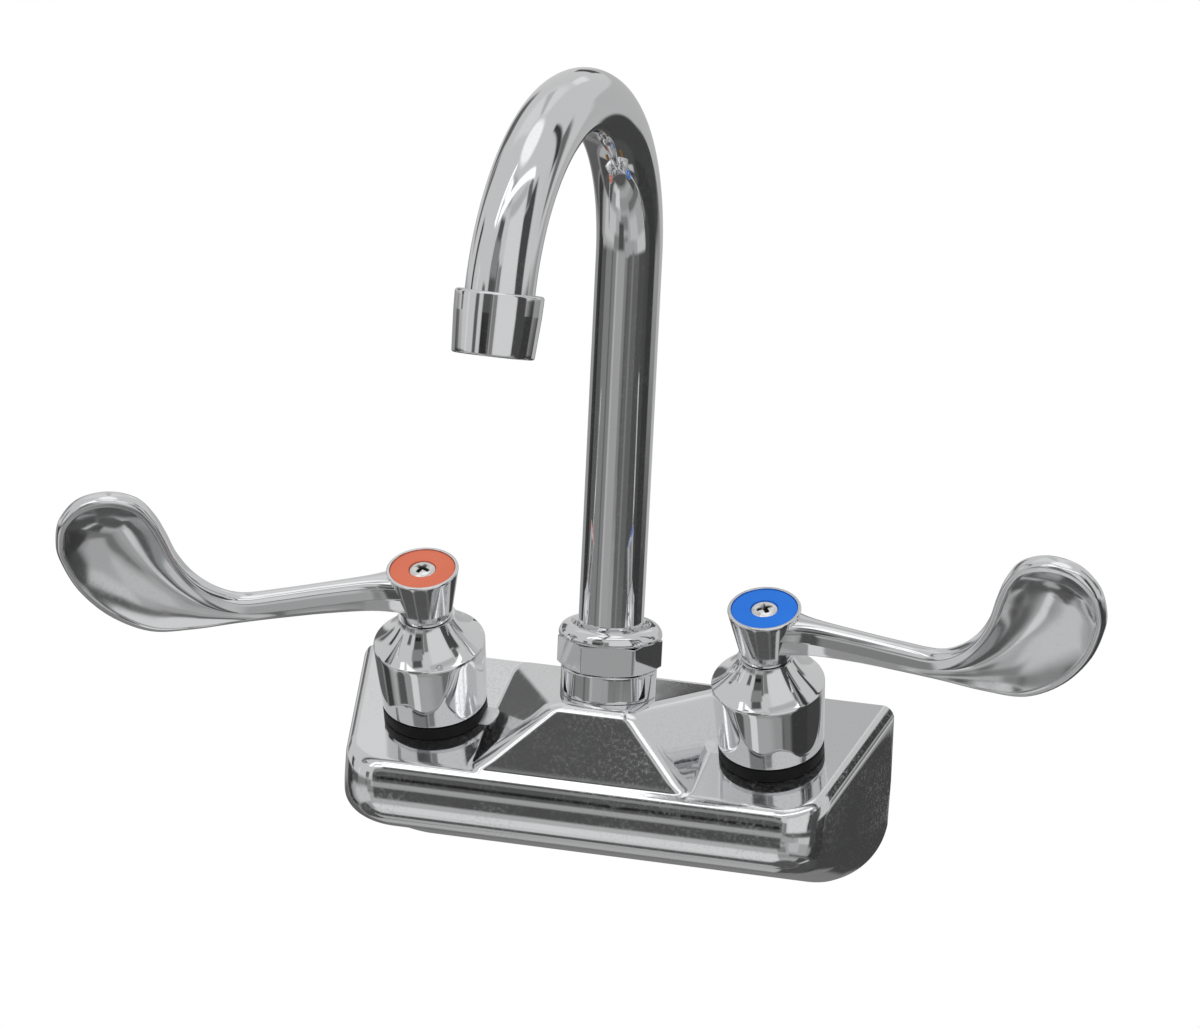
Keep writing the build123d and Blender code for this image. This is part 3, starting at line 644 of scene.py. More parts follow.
# Outline of arm and blade from the hub's top edge round the tip to the hub's lower edge: reach, height,
# bar width, edge rounding, height of the bar's front, its forward lean, and the step behind it
ARM_EDGE = np.array(
    [
        (5.0, 49.8, 4.9, 2.6, 6.4, 0.4, 0.9),
        (15.0, 49.6, 4.9, 2.4, 3.4, 0.7, 0.9),
        (28.0, 49.3, 4.9, 2.2, 2.7, 0.8, 0.9),
        (41.0, 49.0, 4.7, 2.2, 2.7, 0.8, 0.9),
        (52.0, 49.3, 4.2, 2.0, 3.0, 0.6, 0.9),
        (59.0, 52.6, 3.3, 1.7, 3.4, 0.3, 0.9),
        (65.0, 58.6, 2.5, 1.3, 3.8, 0.1, 0.9),
        (69.2, 66.2, 2.2, 1.2, 4.0, 0.0, 0.8),
        (71.6, 74.0, 2.2, 1.2, 4.0, 0.0, 0.7),
        (74.2, 80.8, 2.2, 1.2, 4.0, 0.0, 0.6),
        (78.5, 86.8, 2.4, 1.3, 3.9, 0.0, 0.6),
        (86.3, 90.0, 2.6, 1.3, 3.7, 0.0, 0.6),
        (95.0, 88.8, 2.4, 1.3, 3.4, 0.0, 0.6),
        (101.0, 83.0, 2.1, 1.1, 3.1, 0.0, 0.6),
        (103.0, 75.5, 1.9, 1.0, 2.9, 0.0, 0.6),
        (102.4, 69.0, 1.8, 1.0, 2.8, 0.0, 0.6),
        (98.4, 58.4, 1.8, 1.0, 2.7, 0.0, 0.6),
        (90.6, 48.4, 1.8, 1.0, 2.7, 0.0, 0.5),
        (80.0, 41.6, 1.6, 1.0, 2.6, 0.0, 0.3),
        (68.0, 40.4, 1.3, 1.0, 2.6, 0.0, 0.1),
        (55.0, 40.6, 1.1, 0.9, 2.5, 0.0, 0.0),
        (41.0, 40.4, 1.1, 0.9, 2.4, 0.0, 0.0),
        (28.0, 40.0, 1.1, 0.9, 2.4, 0.0, 0.0),
        (15.0, 39.2, 1.1, 0.9, 3.0, 0.0, 0.0),
        (5.0, 38.7, 1.1, 0.9, 6.0, 0.0, 0.0),
    ]
)
# Spine of the arm and the dish: reach, height, front and back of the metal
ARM_SPINE = np.array(
    [
        (5.0, 43.8, 6.2, -8.0),
        (15.0, 43.7, 3.0, -4.6),
        (28.0, 43.6, 2.5, -3.7),
        (41.0, 43.6, 2.4, -3.6),
        (53.0, 44.0, 2.0, -3.6),
        (63.0, 46.4, 0.8, -3.8),
        (71.5, 51.7, -0.8, -4.1),
        (78.5, 59.2, -1.9, -4.6),
        (84.0, 66.7, -2.3, -4.8),
        (87.2, 74.0, -2.3, -4.8),
    ]
)


def through(knots, place):
    """A smooth curve through rows of knots at given places: each span is the cubic that leaves and
    reaches its knots along the line between their neighbours."""
    ends = np.concatenate([[2 * knots[0] - knots[1]], knots, [2 * knots[-1] - knots[-2]]])
    span = np.clip(np.floor(place).astype(int), 0, len(knots) - 2)
    t = (place - span)[:, None]
    a, b, c, d = (ends[span + k] for k in range(4))
    return b + 0.5 * t * (c - a + t * (2 * a - 5 * b + 4 * c - d + t * (3 * (b - c) + d - a)))


def arm_section(edge, spine):
    """From the spine over the dish, the step, the bar and the rounded edge to the back, for every place
    on the outline at once: distance from the edge, and height of the metal there."""
    far = np.linalg.norm(spine[:, :2] - edge[:, :2], axis=1)[:, None]
    bar, soft, high, lean, step = (edge[:, k, None] for k in range(2, 7))
    dish, back_high = spine[:, 2, None], spine[:, 3, None]
    middle = 0.5 * high + 0.5 * np.maximum(back_high, EDGE_BACK)
    foot = np.minimum(bar + EDGE_RUN, far - SPINE_GAP)
    bar = foot - EDGE_RUN
    share = np.linspace(1, 0, 26)[None, :-1]
    dish_at = foot + (far - foot) * share
    low = high + lean - step
    dish_high = low + (dish - low) * (1 - (1 - share) ** DISH_POWER)
    fall = np.linspace(1, 0, 8)[None, :-1]
    step_at = bar + EDGE_RUN * fall
    step_high = high + lean - step * fall * fall * (3 - 2 * fall)
    along = np.linspace(1, 0, 9)[None, :-1]
    bar_at = soft + (bar - soft) * along
    bar_high = high + lean * along
    turn = np.linspace(math.pi / 2, 0, 13)[None, :]
    edge_at = soft * (1 - np.cos(turn))
    edge_high = middle + (high - middle) * np.sin(turn)
    behind = (1 - np.cos(np.linspace(0, math.pi / 2, 28)))[None, 1:]
    back_at = far * behind
    back_line = middle + (back_high - middle) * (1 - (1 - behind) ** BACK_POWER) ** (1 / BACK_POWER)
    at = np.concatenate([dish_at, step_at, bar_at, edge_at, back_at], axis=1)
    line = np.concatenate([dish_high, step_high, bar_high, edge_high, back_line], axis=1)
    return at / far, line


def arm_grid():
    """Arm and blade as one skin: sections stand all along the outline and reach in to the spine, which
    ends in the middle of the blade; both ends at the hub shrink to a point inside it."""
    knots, ribs = len(ARM_EDGE), len(ARM_SPINE)
    place = np.linspace(0, knots - 1, (knots - 1) * RIB_STEPS + 1)
    edge = through(ARM_EDGE, place)
    spine = through(ARM_SPINE, np.minimum(np.minimum(place, knots - 1 - place), ribs - 1.0))
    at, line = arm_section(edge, spine)
    flat = edge[:, None, :2] + (spine - edge[:, :4])[:, None, :2] * at[..., None]
    skin = np.concatenate([flat, line[..., None]], axis=-1)
    shut = np.broadcast_to(np.array([ARM_SPINE[0, 0], ARM_SPINE[0, 1], 0.0]), skin[:1].shape)
    return np.concatenate([shut, skin, shut])


def lever_ways(name, axis, more=0.0):
    """Directions along a lever and square to it: the way to its own side, turned forward about the valve's
    axis by the lever's rest angle and more."""
    side, turn = HANDLE_TURN[name]
    sideways, front = np.array([side, 0.0, 0.0]), np.array([0.0, -axis[2], axis[1]])
    cosine, sine = math.cos(turn + more), math.sin(turn + more)
    return sideways * cosine + front * sine, front * cosine - sideways * sine


hub = rounded(
    (0.0, HUB_SOCKET[1]),
    HUB_SOCKET,
    (HUB_SOCKET[0], HUB_FOOT[1]),
    (*HUB_FOOT, 0.4),
    (*HUB_RIM, 0.45),
    (HUB_POCKET[0], HUB_RIM[1], 0.15),
    HUB_POCKET,
    (0.0, HUB_POCKET[1]),
)
chrome_handle = chrome_finish("chrome_handle", haze=0.05, clear=0.03, specks=0.3, ripple=0.00002, cloud=70.0)
tree = chrome_handle.node_tree
shader = tree.nodes["Principled BSDF"]
bright = shader.inputs["Roughness"].links[0].from_socket
place = add_node(tree, "ShaderNodeTexCoord").outputs["Object"]
across = add_node(tree, "ShaderNodeSeparateXYZ", [(0, place)]).outputs["X"]
dull = range_node(tree, sum_node(tree, "ABSOLUTE", across), DULL_RUN, (0.0, DISH_DULL))
dull = sum_node(tree, "MULTIPLY", dull, noise_node(tree, place, DULL_SCALE, 3.0))
dull = sum_node(tree, "ADD", dull, bright)
tree.links.new(dull, shader.inputs["Roughness"])
for name, (foot, axis) in VALVES.items():
    out, ahead = lever_ways(name, axis)
    arm = foot + arm_grid() @ np.stack([out, axis, ahead])
    put_piece(
        f"{name}_wrist_blade",
        [arm, turned(hub, foot, axis, 144)],
        chrome_handle,
        f"{name}_lever",
        "chrome",
        f"{name}_handle",
        crease=50.0,
    )


# The index rings: flat moulded discs in red and blue that snap into the hub's top pocket and show which
# valve is which; the handle screw goes through them.
INDEX_R = 9.5
INDEX_IN = 3.95
INDEX_FOOT = 48.85
INDEX_SEAM = 49.4
INDEX_TOP = 50.6
INDEX_FALL = 0.1
INDEX_SHINE = 0.2
INDEX_TONES = {
    "hot": ((0.66, 0.145, 0.075, 1.0), (0.72, 0.19, 0.11, 1.0)),
    "cold": ((0.008, 0.165, 0.74, 1.0), (0.016, 0.205, 0.80, 1.0)),
}
disc = rounded(
    (INDEX_IN, INDEX_SEAM),
    (INDEX_IN, INDEX_FOOT),
    (INDEX_R, INDEX_FOOT),
    (INDEX_R, INDEX_TOP - INDEX_FALL, 0.3),
    (INDEX_IN + 1.0, INDEX_TOP),
    (INDEX_IN, INDEX_TOP, 0.2),
    (INDEX_IN, INDEX_SEAM),
)
for name, (foot, axis) in VALVES.items():
    material = machined_finish(
        f"{name}_index_plastic", *INDEX_TONES[name], 0.22, metal=0.0, size=400.0, shine=INDEX_SHINE
    )
    put_piece(
        f"{name}_index_disc",
        [turned(disc, foot, axis)],
        material,
        f"{name}_lever",
        f"{name}_colour",
        f"{name}_index",
    )


# The handle screws: plated steel with a low round head and a cross recess, which hold the handle down
#  on the stem through the index ring. The cross recess has painted shade in its colour.
HEAD_R = 3.8
HEAD_FOOT = INDEX_FOOT
HEAD_EDGE = 50.3
HEAD_TOP = 51.0
CROSS_LONG = 2.6
CROSS_FADE = 1.2
CROSS_HALF = 0.6
CROSS_SOFT = 0.12
CROSS_DEEP = 1.6
CROSS_TURN = math.radians(45.0)
SCREW_TONE = (0.90, 0.90, 0.89, 1.0)
SCREW_DARK = (0.78, 0.78, 0.77, 1.0)
# Near-black colour of the painted shade inside the cross recess
RECESS_SHADE_TONE = (0.05, 0.05, 0.05, 1.0)


def soft_step(value, low, high):
    """Rises smoothly from nought at low to one at high."""
    t = np.clip((value - low) / (high - low), 0, 1)
    return t * t * (3 - 2 * t)


def cross_recess(p, q):
    """One inside the cross, nought outside: two crossed bars with soft sides and ends that fade out."""
    low, high = CROSS_HALF - CROSS_SOFT, CROSS_HALF + CROSS_SOFT
    bars = [
        (1 - soft_step(np.abs(a), low, high)) * (1 - soft_step(np.abs(b), CROSS_FADE, CROSS_LONG))
        for a, b in ((p, q), (q, p))
    ]
    return np.maximum(*bars)


def screw_top(rings, count):
    """Height over a disc: a low dome, less a cross whose arms have sloping walls and get shallower
    towards their ends."""
    share = np.linspace(0, 1, rings)[:, None]
    angle = np.linspace(0, 2 * math.pi, count + 1)[None, :]
    p, q = HEAD_R * share * np.cos(angle), HEAD_R * share * np.sin(angle)
    dome = HEAD_TOP - (HEAD_TOP - HEAD_EDGE) * share**4
    return np.stack([p, q, dome - CROSS_DEEP * cross_recess(p, q)], axis=-1)


screw_steel = machined_finish("steel_screw", SCREW_TONE, SCREW_DARK, 0.14)
tree = screw_steel.node_tree
shader = tree.nodes["Principled BSDF"]
unshaded_steel = shader.inputs["Base Color"].links[0].from_socket
# Painted shade: the base colour goes near-black inside the cross recess, following the recess attribute
recess_shade_mask = add_node(tree, "ShaderNodeAttribute", attribute_name="recess").outputs["Fac"]
tree.links.new(tone_node(tree, recess_shade_mask, unshaded_steel, RECESS_SHADE_TONE), shader.inputs["Base Color"])
for name, (foot, axis) in VALVES.items():
    out = lever_ways(name, axis, CROSS_TURN)[0]
    ahead = np.cross(axis, out)
    lid = foot + screw_top(44, 160) @ np.stack([out, ahead, axis])
    rim = np.stack([lid[-1], lid[-1] - (HEAD_EDGE - HEAD_FOOT) * axis])
    base = np.stack([rim[-1], np.broadcast_to(foot + HEAD_FOOT * axis, rim[-1].shape)])
    screw = put_piece(
        f"{name}_cross_screw",
        [lid, rim, base],
        screw_steel,
        f"{name}_lever",
        "steel",
        f"{name}_screw",
        crease=40.0,
    )
    # Each screw's recess attribute: one inside the cross, where the shade is painted, nought elsewhere
    spots = np.empty(3 * len(screw.data.vertices))
    screw.data.vertices.foreach_get("co", spots)
    local = (spots.reshape(-1, 3) / MM - foot) @ np.stack([out, ahead, axis], axis=-1)
    deep = cross_recess(local[:, 0], local[:, 1]) * (local[:, 2] > HEAD_FOOT + 0.05)
    screw.data.attributes.new("recess", "FLOAT", "POINT").data.foreach_set("value", deep)


# The spout nut: a turned brass hexagon nut with a round skirt below and a domed, coned mouth above,
# chrome plated. It screws on the stub of the pedestal and holds the spout's bearing down.
SPOUT_JOINT = next(joint for joint in frame["joints"] if joint["name"] == "spout_swivel")
SPOUT_FOOT = np.array(SPOUT_JOINT["pos_m"]) / MM
NUT_FLATS = 26.6
NUT_TURN = math.radians(12.6)
NUT_CORNER = 15.3
CORNER_SHARP = 12.0
CONE_SHARP = 9.0
NUT_FOOT = 0.05
NUT_BORE = 10.5
NUT_SKIRT = (14.0, 7.9)
NUT_GROOVE = (13.0, 8.1)
NUT_HEX_R = 15.6
NUT_HEX_HEIGHTS = (8.9, 16.4)
NUT_NECK = (13.6, 16.9)
NUT_DOME_FOOT = (15.1, 17.2)
NUT_DOME_TOP = (14.9, 21.1)
NUT_MOUTH = ((11.4, 21.1), (10.9, 20.4), (9.9, 17.8), (9.9, 13.0))


def soft_less(a, b, sharp):
    """The lesser of two values, with the change from one to the other rounded off."""
    return -np.logaddexp(-sharp * a, -sharp * b) / sharp


def nut_grid(count):
    """Rows of a turned profile go round; on the hexagon's rows the radius is the lesser of the row's
    own and the distance to the nearest flat, so that the coned ends scallop each corner."""
    angle = np.linspace(0, 2 * math.pi, count + 1)
    sixth = math.pi / 3
    flat = NUT_FLATS / 2 / np.cos(np.mod(angle - NUT_TURN, sixth) - sixth / 2)
    flat = soft_less(flat, np.full_like(flat, NUT_CORNER), CORNER_SHARP)
    foot = (NUT_BORE, NUT_FOOT)
    edge, lip, throat, ledge = NUT_MOUTH
    skirt = rounded(foot, (NUT_SKIRT[0], NUT_FOOT, 0.3), (*NUT_SKIRT, 0.3), NUT_GROOVE, step=0.6)
    low, high = ((NUT_HEX_R, height) for height in NUT_HEX_HEIGHTS)
    hexagon = rounded(NUT_GROOVE, (*low, 0.3), (*high, 0.4), NUT_NECK, step=0.35)
    dome = rounded(NUT_NECK, (*NUT_DOME_FOOT, 0.6), (*NUT_DOME_TOP, 3.3), (*edge, 0.3), lip, step=0.4, arc=24)
    mouth = rounded(lip, throat, ledge, (NUT_BORE, ledge[1]), foot)
    rows = np.concatenate([skirt, hexagon, dome, mouth])
    place = np.arange(len(rows))[:, None]
    is_hexagon = (place >= len(skirt)) & (place < len(skirt) + len(hexagon))
    round_r = np.broadcast_to(rows[:, :1], (len(rows), count + 1))
    radius = np.where(is_hexagon, soft_less(round_r, flat[None, :], CONE_SHARP), round_r)
    height = np.broadcast_to(rows[:, 1:], radius.shape)
    return np.stack([radius * np.cos(angle), radius * np.sin(angle), height], axis=-1)


chrome_nut = chrome_finish("chrome_nut", haze=0.015, clear=0.035, specks=0.2)
nut = SPOUT_FOOT + nut_grid(360)
put_piece("spout_hex_nut", [nut], chrome_nut, "body", "chrome", "spout_nut", crease=40.0)


# The gooseneck spout: brass tube of 19 mm, bent over in two close arcs, polished and plated. It turns
# on the plug brazed in its foot, under the nut.
TUBE_R = 9.5
TUBE_BORE = 8.3
TUBE_FOOT = 12.43
TUBE_RISE = 129.6
TUBE_ARCS = ((51.0, math.radians(90.0)), (54.3, math.radians(78.6)))
TUBE_TIP = 5.0
TIP_STEPS = 5
SPOUT_TURN = math.radians(-4.1)


def spout_path():
    """Reach and height along the tube's middle line, with its direction: a straight rise, two arcs that
    run into each other, and a short straight tip."""
    rise = np.linspace(TUBE_FOOT, TUBE_RISE, 90)
    line = [np.stack([0 * rise, rise, 0 * rise], axis=-1)]
    heading, at = 0.0, np.array([0.0, TUBE_RISE])
    for radius, sweep in TUBE_ARCS:
        bend = heading + np.linspace(0, sweep, 100)[1:]
        reach = at[0] + radius * (math.cos(heading) - np.cos(bend))
        height = at[1] + radius * (np.sin(bend) - math.sin(heading))
        line.append(np.stack([reach, height, bend], axis=-1))
        heading, at = bend[-1], np.array([reach[-1], height[-1]])
    tip = np.linspace(0, TUBE_TIP, TIP_STEPS + 1)[1:, None]
    last = np.concatenate([at + tip * (math.sin(heading), math.cos(heading)), 0 * tip + heading], axis=1)
    return np.concatenate([*line, last])


def spout_point(reach, height, across=0.0):
    """A place in the spout's plane as a point in the frame."""
    ahead = np.array([math.sin(SPOUT_TURN), -math.cos(SPOUT_TURN), 0.0])
    beside = np.array([math.cos(SPOUT_TURN), math.sin(SPOUT_TURN), 0.0])
    reach, height, across = (np.asarray(v, float)[..., None] for v in (reach, height, across))
    return SPOUT_FOOT + reach * ahead + across * beside + height * np.array([0.0, 0.0, 1.0])


def tube_grid(path, radius, count):
    """A circle is carried along the path, square to it."""
    reach, height, heading = (path[:, k, None] for k in range(3))
    angle = np.linspace(0, 2 * math.pi, count + 1)[None, :]
    out, beside = radius * np.cos(angle), radius * np.sin(angle) + 0 * reach
    return spout_point(reach + out * np.cos(heading), height - out * np.sin(heading), beside)


path = spout_path()
outside, bore = tube_grid(path, TUBE_R, 128), tube_grid(path, TUBE_BORE, 128)
ends = [np.stack([outside[k], bore[k]]) for k in (0, -1)]
chrome_tube = chrome_finish("chrome_tube", haze=0.03, clear=0.03, specks=0.3, ripple=0.00002, cloud=55.0)
put_piece("spout_gooseneck", [outside, bore, *ends], chrome_tube, "spout", "chrome", "spout_tube")


# The aerator: a turned and plated brass housing screwed on the tube's end over a rubber washer, with a
# drilled plastic insert inside that breaks the stream up.
AERATOR_LONG = 17.2
AERATOR_TOP_R = 12.1
AERATOR_MID_R = 11.95
AERATOR_END_R = 11.2
AERATOR_MID = 5.6
AERATOR_HOLE = 9.6
AERATOR_BORE = 9.7
AERATOR_COLLAR = 1.0
shell_line = rounded(
    (AERATOR_HOLE, AERATOR_COLLAR),
    (AERATOR_HOLE, 0.0),
    (AERATOR_TOP_R, 0.0, 0.8),
    (AERATOR_MID_R, AERATOR_MID, 6.0),
    (AERATOR_END_R, AERATOR_LONG, 0.7),
    (AERATOR_BORE, AERATOR_LONG, 0.4),
    (AERATOR_BORE, AERATOR_COLLAR),
    (AERATOR_HOLE, AERATOR_COLLAR),
    step=0.8,
)
reach, height, sweep = path[-TIP_STEPS - 1]
down = spout_point(math.sin(sweep), math.cos(sweep)) - SPOUT_FOOT
chrome_aerator = chrome_finish("chrome_aerator", haze=0.03, clear=0.035, specks=0.3)
put_piece(
    "aerator_shell",
    [turned(shell_line, spout_point(reach, height), down, 144)],
    chrome_aerator,
    "spout",
    "chrome",
    "aerator_housing",
)


# The camera stands where the photograph was taken from: well back with a long lens, a little to the right
# and above, and rolled slightly.
VIEW_LENS = 158.82
VIEW_SENSOR = 36.0
VIEW_TURN = math.radians(15.09)
VIEW_RISE = math.radians(13.79)
VIEW_ROLL = math.radians(2.76)
VIEW_FROM = (0.3821, -1.4562, 0.4463)
level_back = Vector((math.sin(VIEW_TURN), -math.cos(VIEW_TURN), 0.0))
back = level_back * math.cos(VIEW_RISE) + Vector((0.0, 0.0, math.sin(VIEW_RISE)))
right = Vector((math.cos(VIEW_TURN), math.sin(VIEW_TURN), 0.0))
upward = back.cross(right)
rolled_right = right * math.cos(VIEW_ROLL) + upward * math.sin(VIEW_ROLL)
rolled_up = upward * math.cos(VIEW_ROLL) - right * math.sin(VIEW_ROLL)
lens = bpy.data.cameras.new("photo_lens")
lens.lens = VIEW_LENS
lens.sensor_width = VIEW_SENSOR
camera = bpy.data.objects.new("photo_camera", lens)
bpy.context.scene.collection.objects.link(camera)
aim = Matrix((rolled_right, rolled_up, back)).transposed()
camera.matrix_world = Matrix.Translation(VIEW_FROM) @ aim.to_4x4()
bpy.context.scene.camera = camera


# The surround: the studio's grey walls, darker towards the ground, with bright strips and dark cards hung
# all round and one long strip across the ceiling. Only the plated metal mirrors them; straight to the
# camera the surround is plain white.
AMBIENT = 0.78
WALL_RUN = (-9.0, -4.0)
WALL_TONES = (0.33, 0.64)
# Each card: azimuth and elevation of its middle, its half width and half height, its softness and its tone
CARDS = (
    (-150, -32, 30, 14, 3, 0.12),
    (146, -42, 40, 29, 2, 0.06),
    (-10, -31, 82, 20, 3, 0.42),
    (-60, -34, 24, 12, 3, 0.60),
    (34, -34, 14, 9, 3, 0.55),
    (62, -21, 18, 5.5, 2, 0.60),
    (-16, -24, 26, 6, 3, 0.24),
    (17, -20, 17, 6, 2, 0.39),
    (-5, -41, 17, 6, 2.5, 0.24),
    (180, -61, 118, 12, 3, 0.08),
    (103, -64, 6, 8, 2, 0.55),
    (58, -52, 34, 4, 2, 0.17),
    (0, -66, 62, 3.5, 2, 0.42),
    (0, -90, 180, 17, 3, 0.10),
    (-14, -30, 9, 10.5, 2, 0.085),
    (-24, -48, 8, 5.5, 2, 0.48),
    (-31, -61, 11, 9, 2, 0.74),
    (-150, -60, 13, 10, 2, 0.45),
    (-167, -30, 9, 14, 3, 0.20),
    (-83, -62, 18, 14, 2, 0.10),
    (-125, -73, 25, 6, 2, 0.42),
    (-46, -68, 9, 4, 2, 0.66),
    (38, 20, 24, 28, 4, 0.74),
    (-34, -13, 46, 5, 2, 0.24),
    (-14, -13, 16, 5, 2, 0.39),
    (-26, -13, 3, 5, 1.5, 0.48),
    (-44, -13, 2.5, 5, 1.5, 0.14),
    (34, -12.5, 18, 3.5, 1.5, 0.14),
    (14, -12, 3.5, 3, 1.5, 0.12),
    (8, -16.5, 6, 2.5, 1, 0.38),
    (30, -13, 3, 5, 1.5, 0.22),
    (66, -12.5, 15, 3.5, 1.5, 0.085),
    (78, -13, 3, 5, 1.5, 0.14),
    (-150, 58, 40, 14, 6, 0.76),
    (-159, 58, 6, 12, 3, 0.52),
    (100, -28, 18, 23, 4, 0.045),
    (-108, -26, 9, 20, 4, 0.05),
    (170, -4, 22, 15, 2, 0.50),
    (82, 4, 8, 34, 3, 0.07),
    (71, 13, 7, 21, 2, 0.07),
    (-92, 8, 4, 11, 2, 0.05),
    (-82, -11, 11, 5.5, 2, 0.11),
    (-98, -13, 6, 6, 2, 0.035),
    (-41, 3, 5, 8, 2, 0.12),
    (-11.5, 9, 12.5, 17, 2.5, 0.13),
    (-15.5, 19, 9.5, 27, 2.5, 0.095),
    (-15, 26, 12, 9, 2, 0.26),
    (-15, 0.5, 9, 3, 1.5, 0.02),
    (-14, 60, 17, 8, 3, 0.45),
    (-29, 58.5, 9.5, 6, 2, 1.4),
    (35, 50, 28, 4, 2, 0.50),
    (-45, 54, 3.5, 17, 1.5, 1.6),
    (-68, 4, 2.5, 9, 1, 0.75),
    (7, 6, 5, 17, 1.5, 0.24),
    (72, 42, 6, 7, 2, 0.14),
    (112, 14, 6, 10, 3, 0.62),
    (128, 12, 5, 12, 3, 0.16),
    (120, 33, 3.5, 18, 2, 0.05),
    (-120, 10, 5, 9, 3, 0.15),
    (175, 34, 6, 6, 2.5, 0.85),
    (-171.5, 15.5, 6, 3.5, 0.6, 0.085),
    (0, 90, 180, 15, 3, 1.1),
    (-137, 14, 10, 9, 3, 0.13),
)
# A long strip across the ceiling: the normal of its plane, half its width, its softness, the part of the
# surround that it crosses, given as a card is, and its tone
STRIP_PLANE = (-0.392, 0.803, 0.449)
STRIP_HALF = math.sin(math.radians(2.8))
STRIP_SOFT = math.sin(math.radians(1.2))
STRIP_REACH = (22.0, 45.0, 58.0, 40.0, 3.0)
STRIP_TONE = 1.6
CARD_PLACE = ("Middle Azimuth", "Middle Elevation", "Half Width", "Half Height", "Softness")


def card_group():
    """How much of a card a direction meets: one within its half width and half height, falling softly
    to nought across its edges."""
    group, given, made = new_group("soft_card", ("Azimuth", "Elevation", *CARD_PLACE), ("Mask",))
    given, masks = given.outputs, []
    for angle, half in (("Azimuth", "Half Width"), ("Elevation", "Half Height")):
        away = sum_node(group, "SUBTRACT", given[angle], given[f"Middle {angle}"])
        away = sum_node(group, "ABSOLUTE", sum_node(group, "WRAP", away, 180.0, -180.0))
        near = sum_node(group, "SUBTRACT", given[half], given["Softness"])
        far = sum_node(group, "ADD", given[half], given["Softness"])
        masks.append(range_node(group, away, (near, far), (1.0, 0.0), "SMOOTHSTEP"))
    group.links.new(sum_node(group, "MULTIPLY", *masks), made.inputs["Mask"])
    return group


def value_node(tree, share, first, second):
    """A number between two others."""
    return add_node(tree, "ShaderNodeMix", [(0, share), (2, first), (3, second)]).outputs[0]


world = bpy.data.worlds.new("studio")
bpy.context.scene.world = world
world.use_nodes = True
tree = world.node_tree
facing = add_node(tree, "ShaderNodeTexCoord").outputs["Object"]
ways = add_node(tree, "ShaderNodeSeparateXYZ", [(0, facing)]).outputs
azimuth = sum_node(tree, "ARCTAN2", ways["X"], sum_node(tree, "MULTIPLY", ways["Y"], -1.0))
azimuth = sum_node(tree, "DEGREES", azimuth)
elevation = sum_node(tree, "DEGREES", sum_node(tree, "ARCSINE", ways["Z"]))
card = card_group()


def card_mask(*place):
    """The share of one card in each direction of the surround."""
    links = [("Azimuth", azimuth), ("Elevation", elevation), *zip(CARD_PLACE, place)]
    return add_node(tree, "ShaderNodeGroup", links, node_tree=card).outputs["Mask"]


tone = range_node(tree, elevation, WALL_RUN, WALL_TONES)
for *place, value in CARDS:
    tone = value_node(tree, card_mask(*place), tone, value)
off_strip = add_node(tree, "ShaderNodeVectorMath", [(0, facing), (1, STRIP_PLANE)], operation="DOT_PRODUCT")
off_strip = sum_node(tree, "ABSOLUTE", off_strip.outputs["Value"])
strip_run = (STRIP_HALF - STRIP_SOFT, STRIP_HALF + STRIP_SOFT)
strip = range_node(tree, off_strip, strip_run, (1.0, 0.0), "SMOOTHSTEP")
tone = value_node(tree, sum_node(tree, "MULTIPLY", strip, card_mask(*STRIP_REACH)), tone, STRIP_TONE)
rays = add_node(tree, "ShaderNodeLightPath").outputs
plain = sum_node(tree, "MAXIMUM", rays["Is Camera Ray"], rays["Is Transmission Ray"])
shown = value_node(tree, rays["Is Glossy Ray"], value_node(tree, plain, AMBIENT, 1.0), tone)
tree.links.new(shown, tree.nodes["Background"].inputs["Color"])


# The floor: a broad round sheet of pale paper well below the faucet, which takes its soft shadow. It turns
# to plain white further out, and from below it is clear, so that the underside can be looked at.
FLOOR_DROP = -0.30
FLOOR_R = 1.3
FLOOR_RINGS = 24
FLOOR_STEPS = 96
FLOOR_FADE = (0.12, 0.55)
PAPER_ROUGH = 0.9
PAPER_SCALE = 40.0
PAPER_DARK = (0.90, 0.90, 0.90, 1.0)
PAPER_TONE = (0.94, 0.94, 0.94, 1.0)
share = np.linspace(0, 1, FLOOR_RINGS)
disc = np.stack([FLOOR_R * share, 0 * share], axis=-1)
ground = turned(disc, (0.0, 0.0, FLOOR_DROP), (0, 0, 1), FLOOR_STEPS)
index = np.arange(FLOOR_RINGS * (FLOOR_STEPS + 1)).reshape(FLOOR_RINGS, -1)
corners = [index[:-1, :-1], index[1:, :-1], index[1:, 1:], index[:-1, 1:]]
mesh = bpy.data.meshes.new("studio_floor")
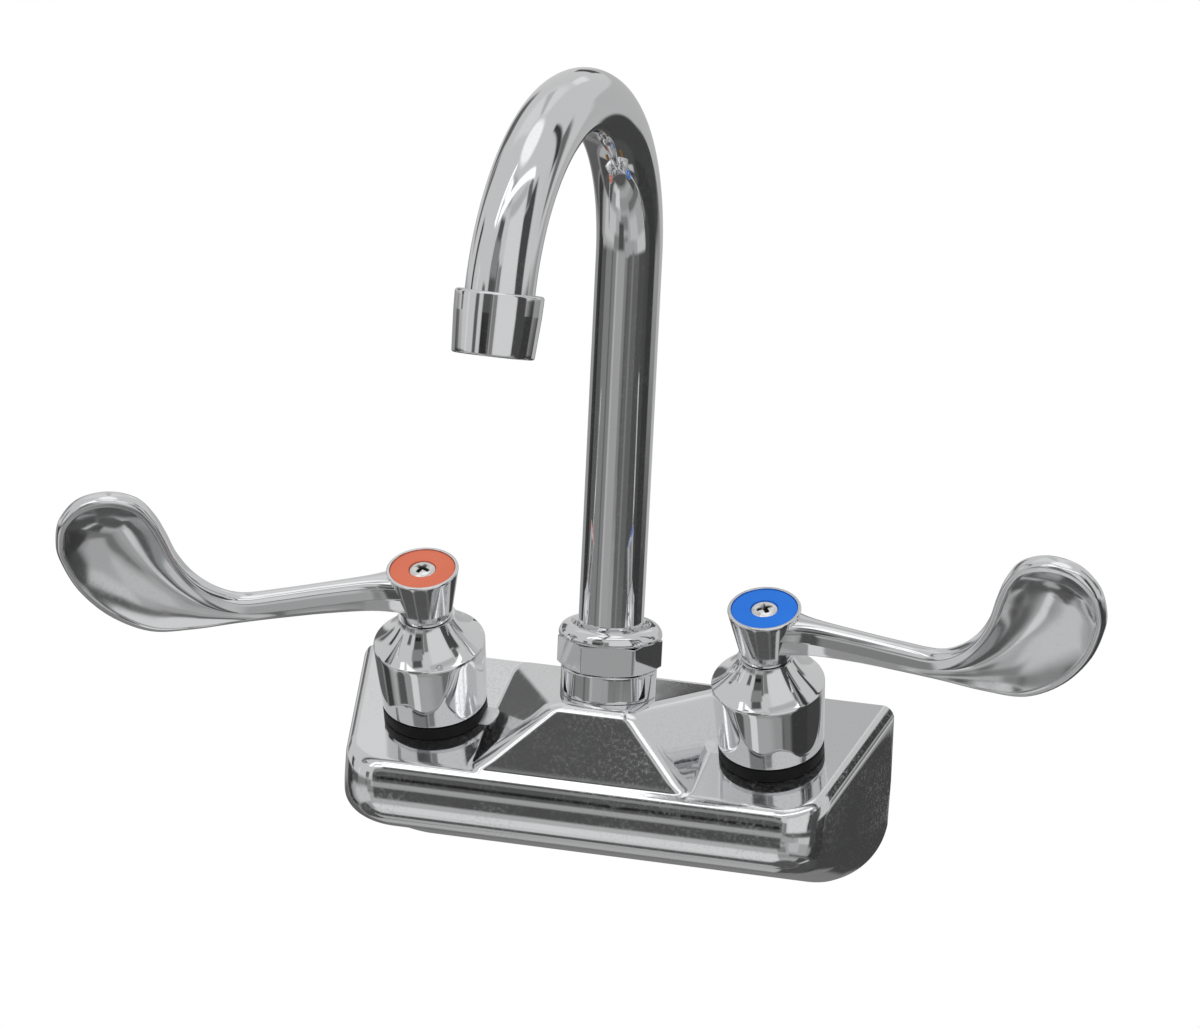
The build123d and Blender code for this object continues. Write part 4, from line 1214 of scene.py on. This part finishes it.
mesh.from_pydata(ground.reshape(-1, 3), [], np.stack(corners, axis=-1).reshape(-1, 4))
floor = bpy.data.objects.new("studio_floor", mesh)
bpy.context.scene.collection.objects.link(floor)
floor.visible_glossy = False
material, tree, shader = new_material("floor_paper")
shader.inputs["Roughness"].default_value = PAPER_ROUGH
place = add_node(tree, "ShaderNodeTexCoord").outputs["Object"]
paper = tone_node(tree, noise_node(tree, place, PAPER_SCALE, 2.0), PAPER_DARK, PAPER_TONE)
tree.links.new(paper, shader.inputs["Base Color"])
flat = add_node(tree, "ShaderNodeVectorMath", [(0, place), (1, (1.0, 1.0, 0.0))], operation="MULTIPLY")
away = add_node(tree, "ShaderNodeVectorMath", [(0, flat.outputs[0])], operation="LENGTH").outputs["Value"]
fade = range_node(tree, away, FLOOR_FADE, kind="SMOOTHSTEP")
white = sum_node(tree, "MULTIPLY", fade, add_node(tree, "ShaderNodeLightPath").outputs["Is Camera Ray"])
below = add_node(tree, "ShaderNodeNewGeometry").outputs["Backfacing"]
glow = add_node(tree, "ShaderNodeEmission", [("Strength", 1.0)]).outputs[0]
clear = add_node(tree, "ShaderNodeBsdfTransparent").outputs[0]
above = add_node(tree, "ShaderNodeMixShader", [(0, white), (1, shader.outputs[0]), (2, glow)]).outputs[0]
one_way = add_node(tree, "ShaderNodeMixShader", [(0, below), (1, above), (2, clear)]).outputs[0]
tree.links.new(one_way, tree.nodes["Material Output"].inputs["Surface"])
mesh.materials.append(material)


# The lamp: one broad soft lamp, high in front and to the left, which gives the floor its shadow. The plated
# metal mirrors the cards instead of it.
LAMP_POWER = 0.8
LAMP_SPREAD = math.radians(25.0)
LAMP_TILT = (math.radians(28.0), math.radians(-18.0), 0.0)
lamp = bpy.data.lights.new("soft_lamp", "SUN")
lamp.energy = LAMP_POWER
lamp.angle = LAMP_SPREAD
lamp_stand = bpy.data.objects.new("soft_lamp", lamp)
lamp_stand.rotation_euler = LAMP_TILT
lamp_stand.visible_glossy = False
bpy.context.scene.collection.objects.link(lamp_stand)
bpy.context.scene.view_settings.view_transform = "Standard"
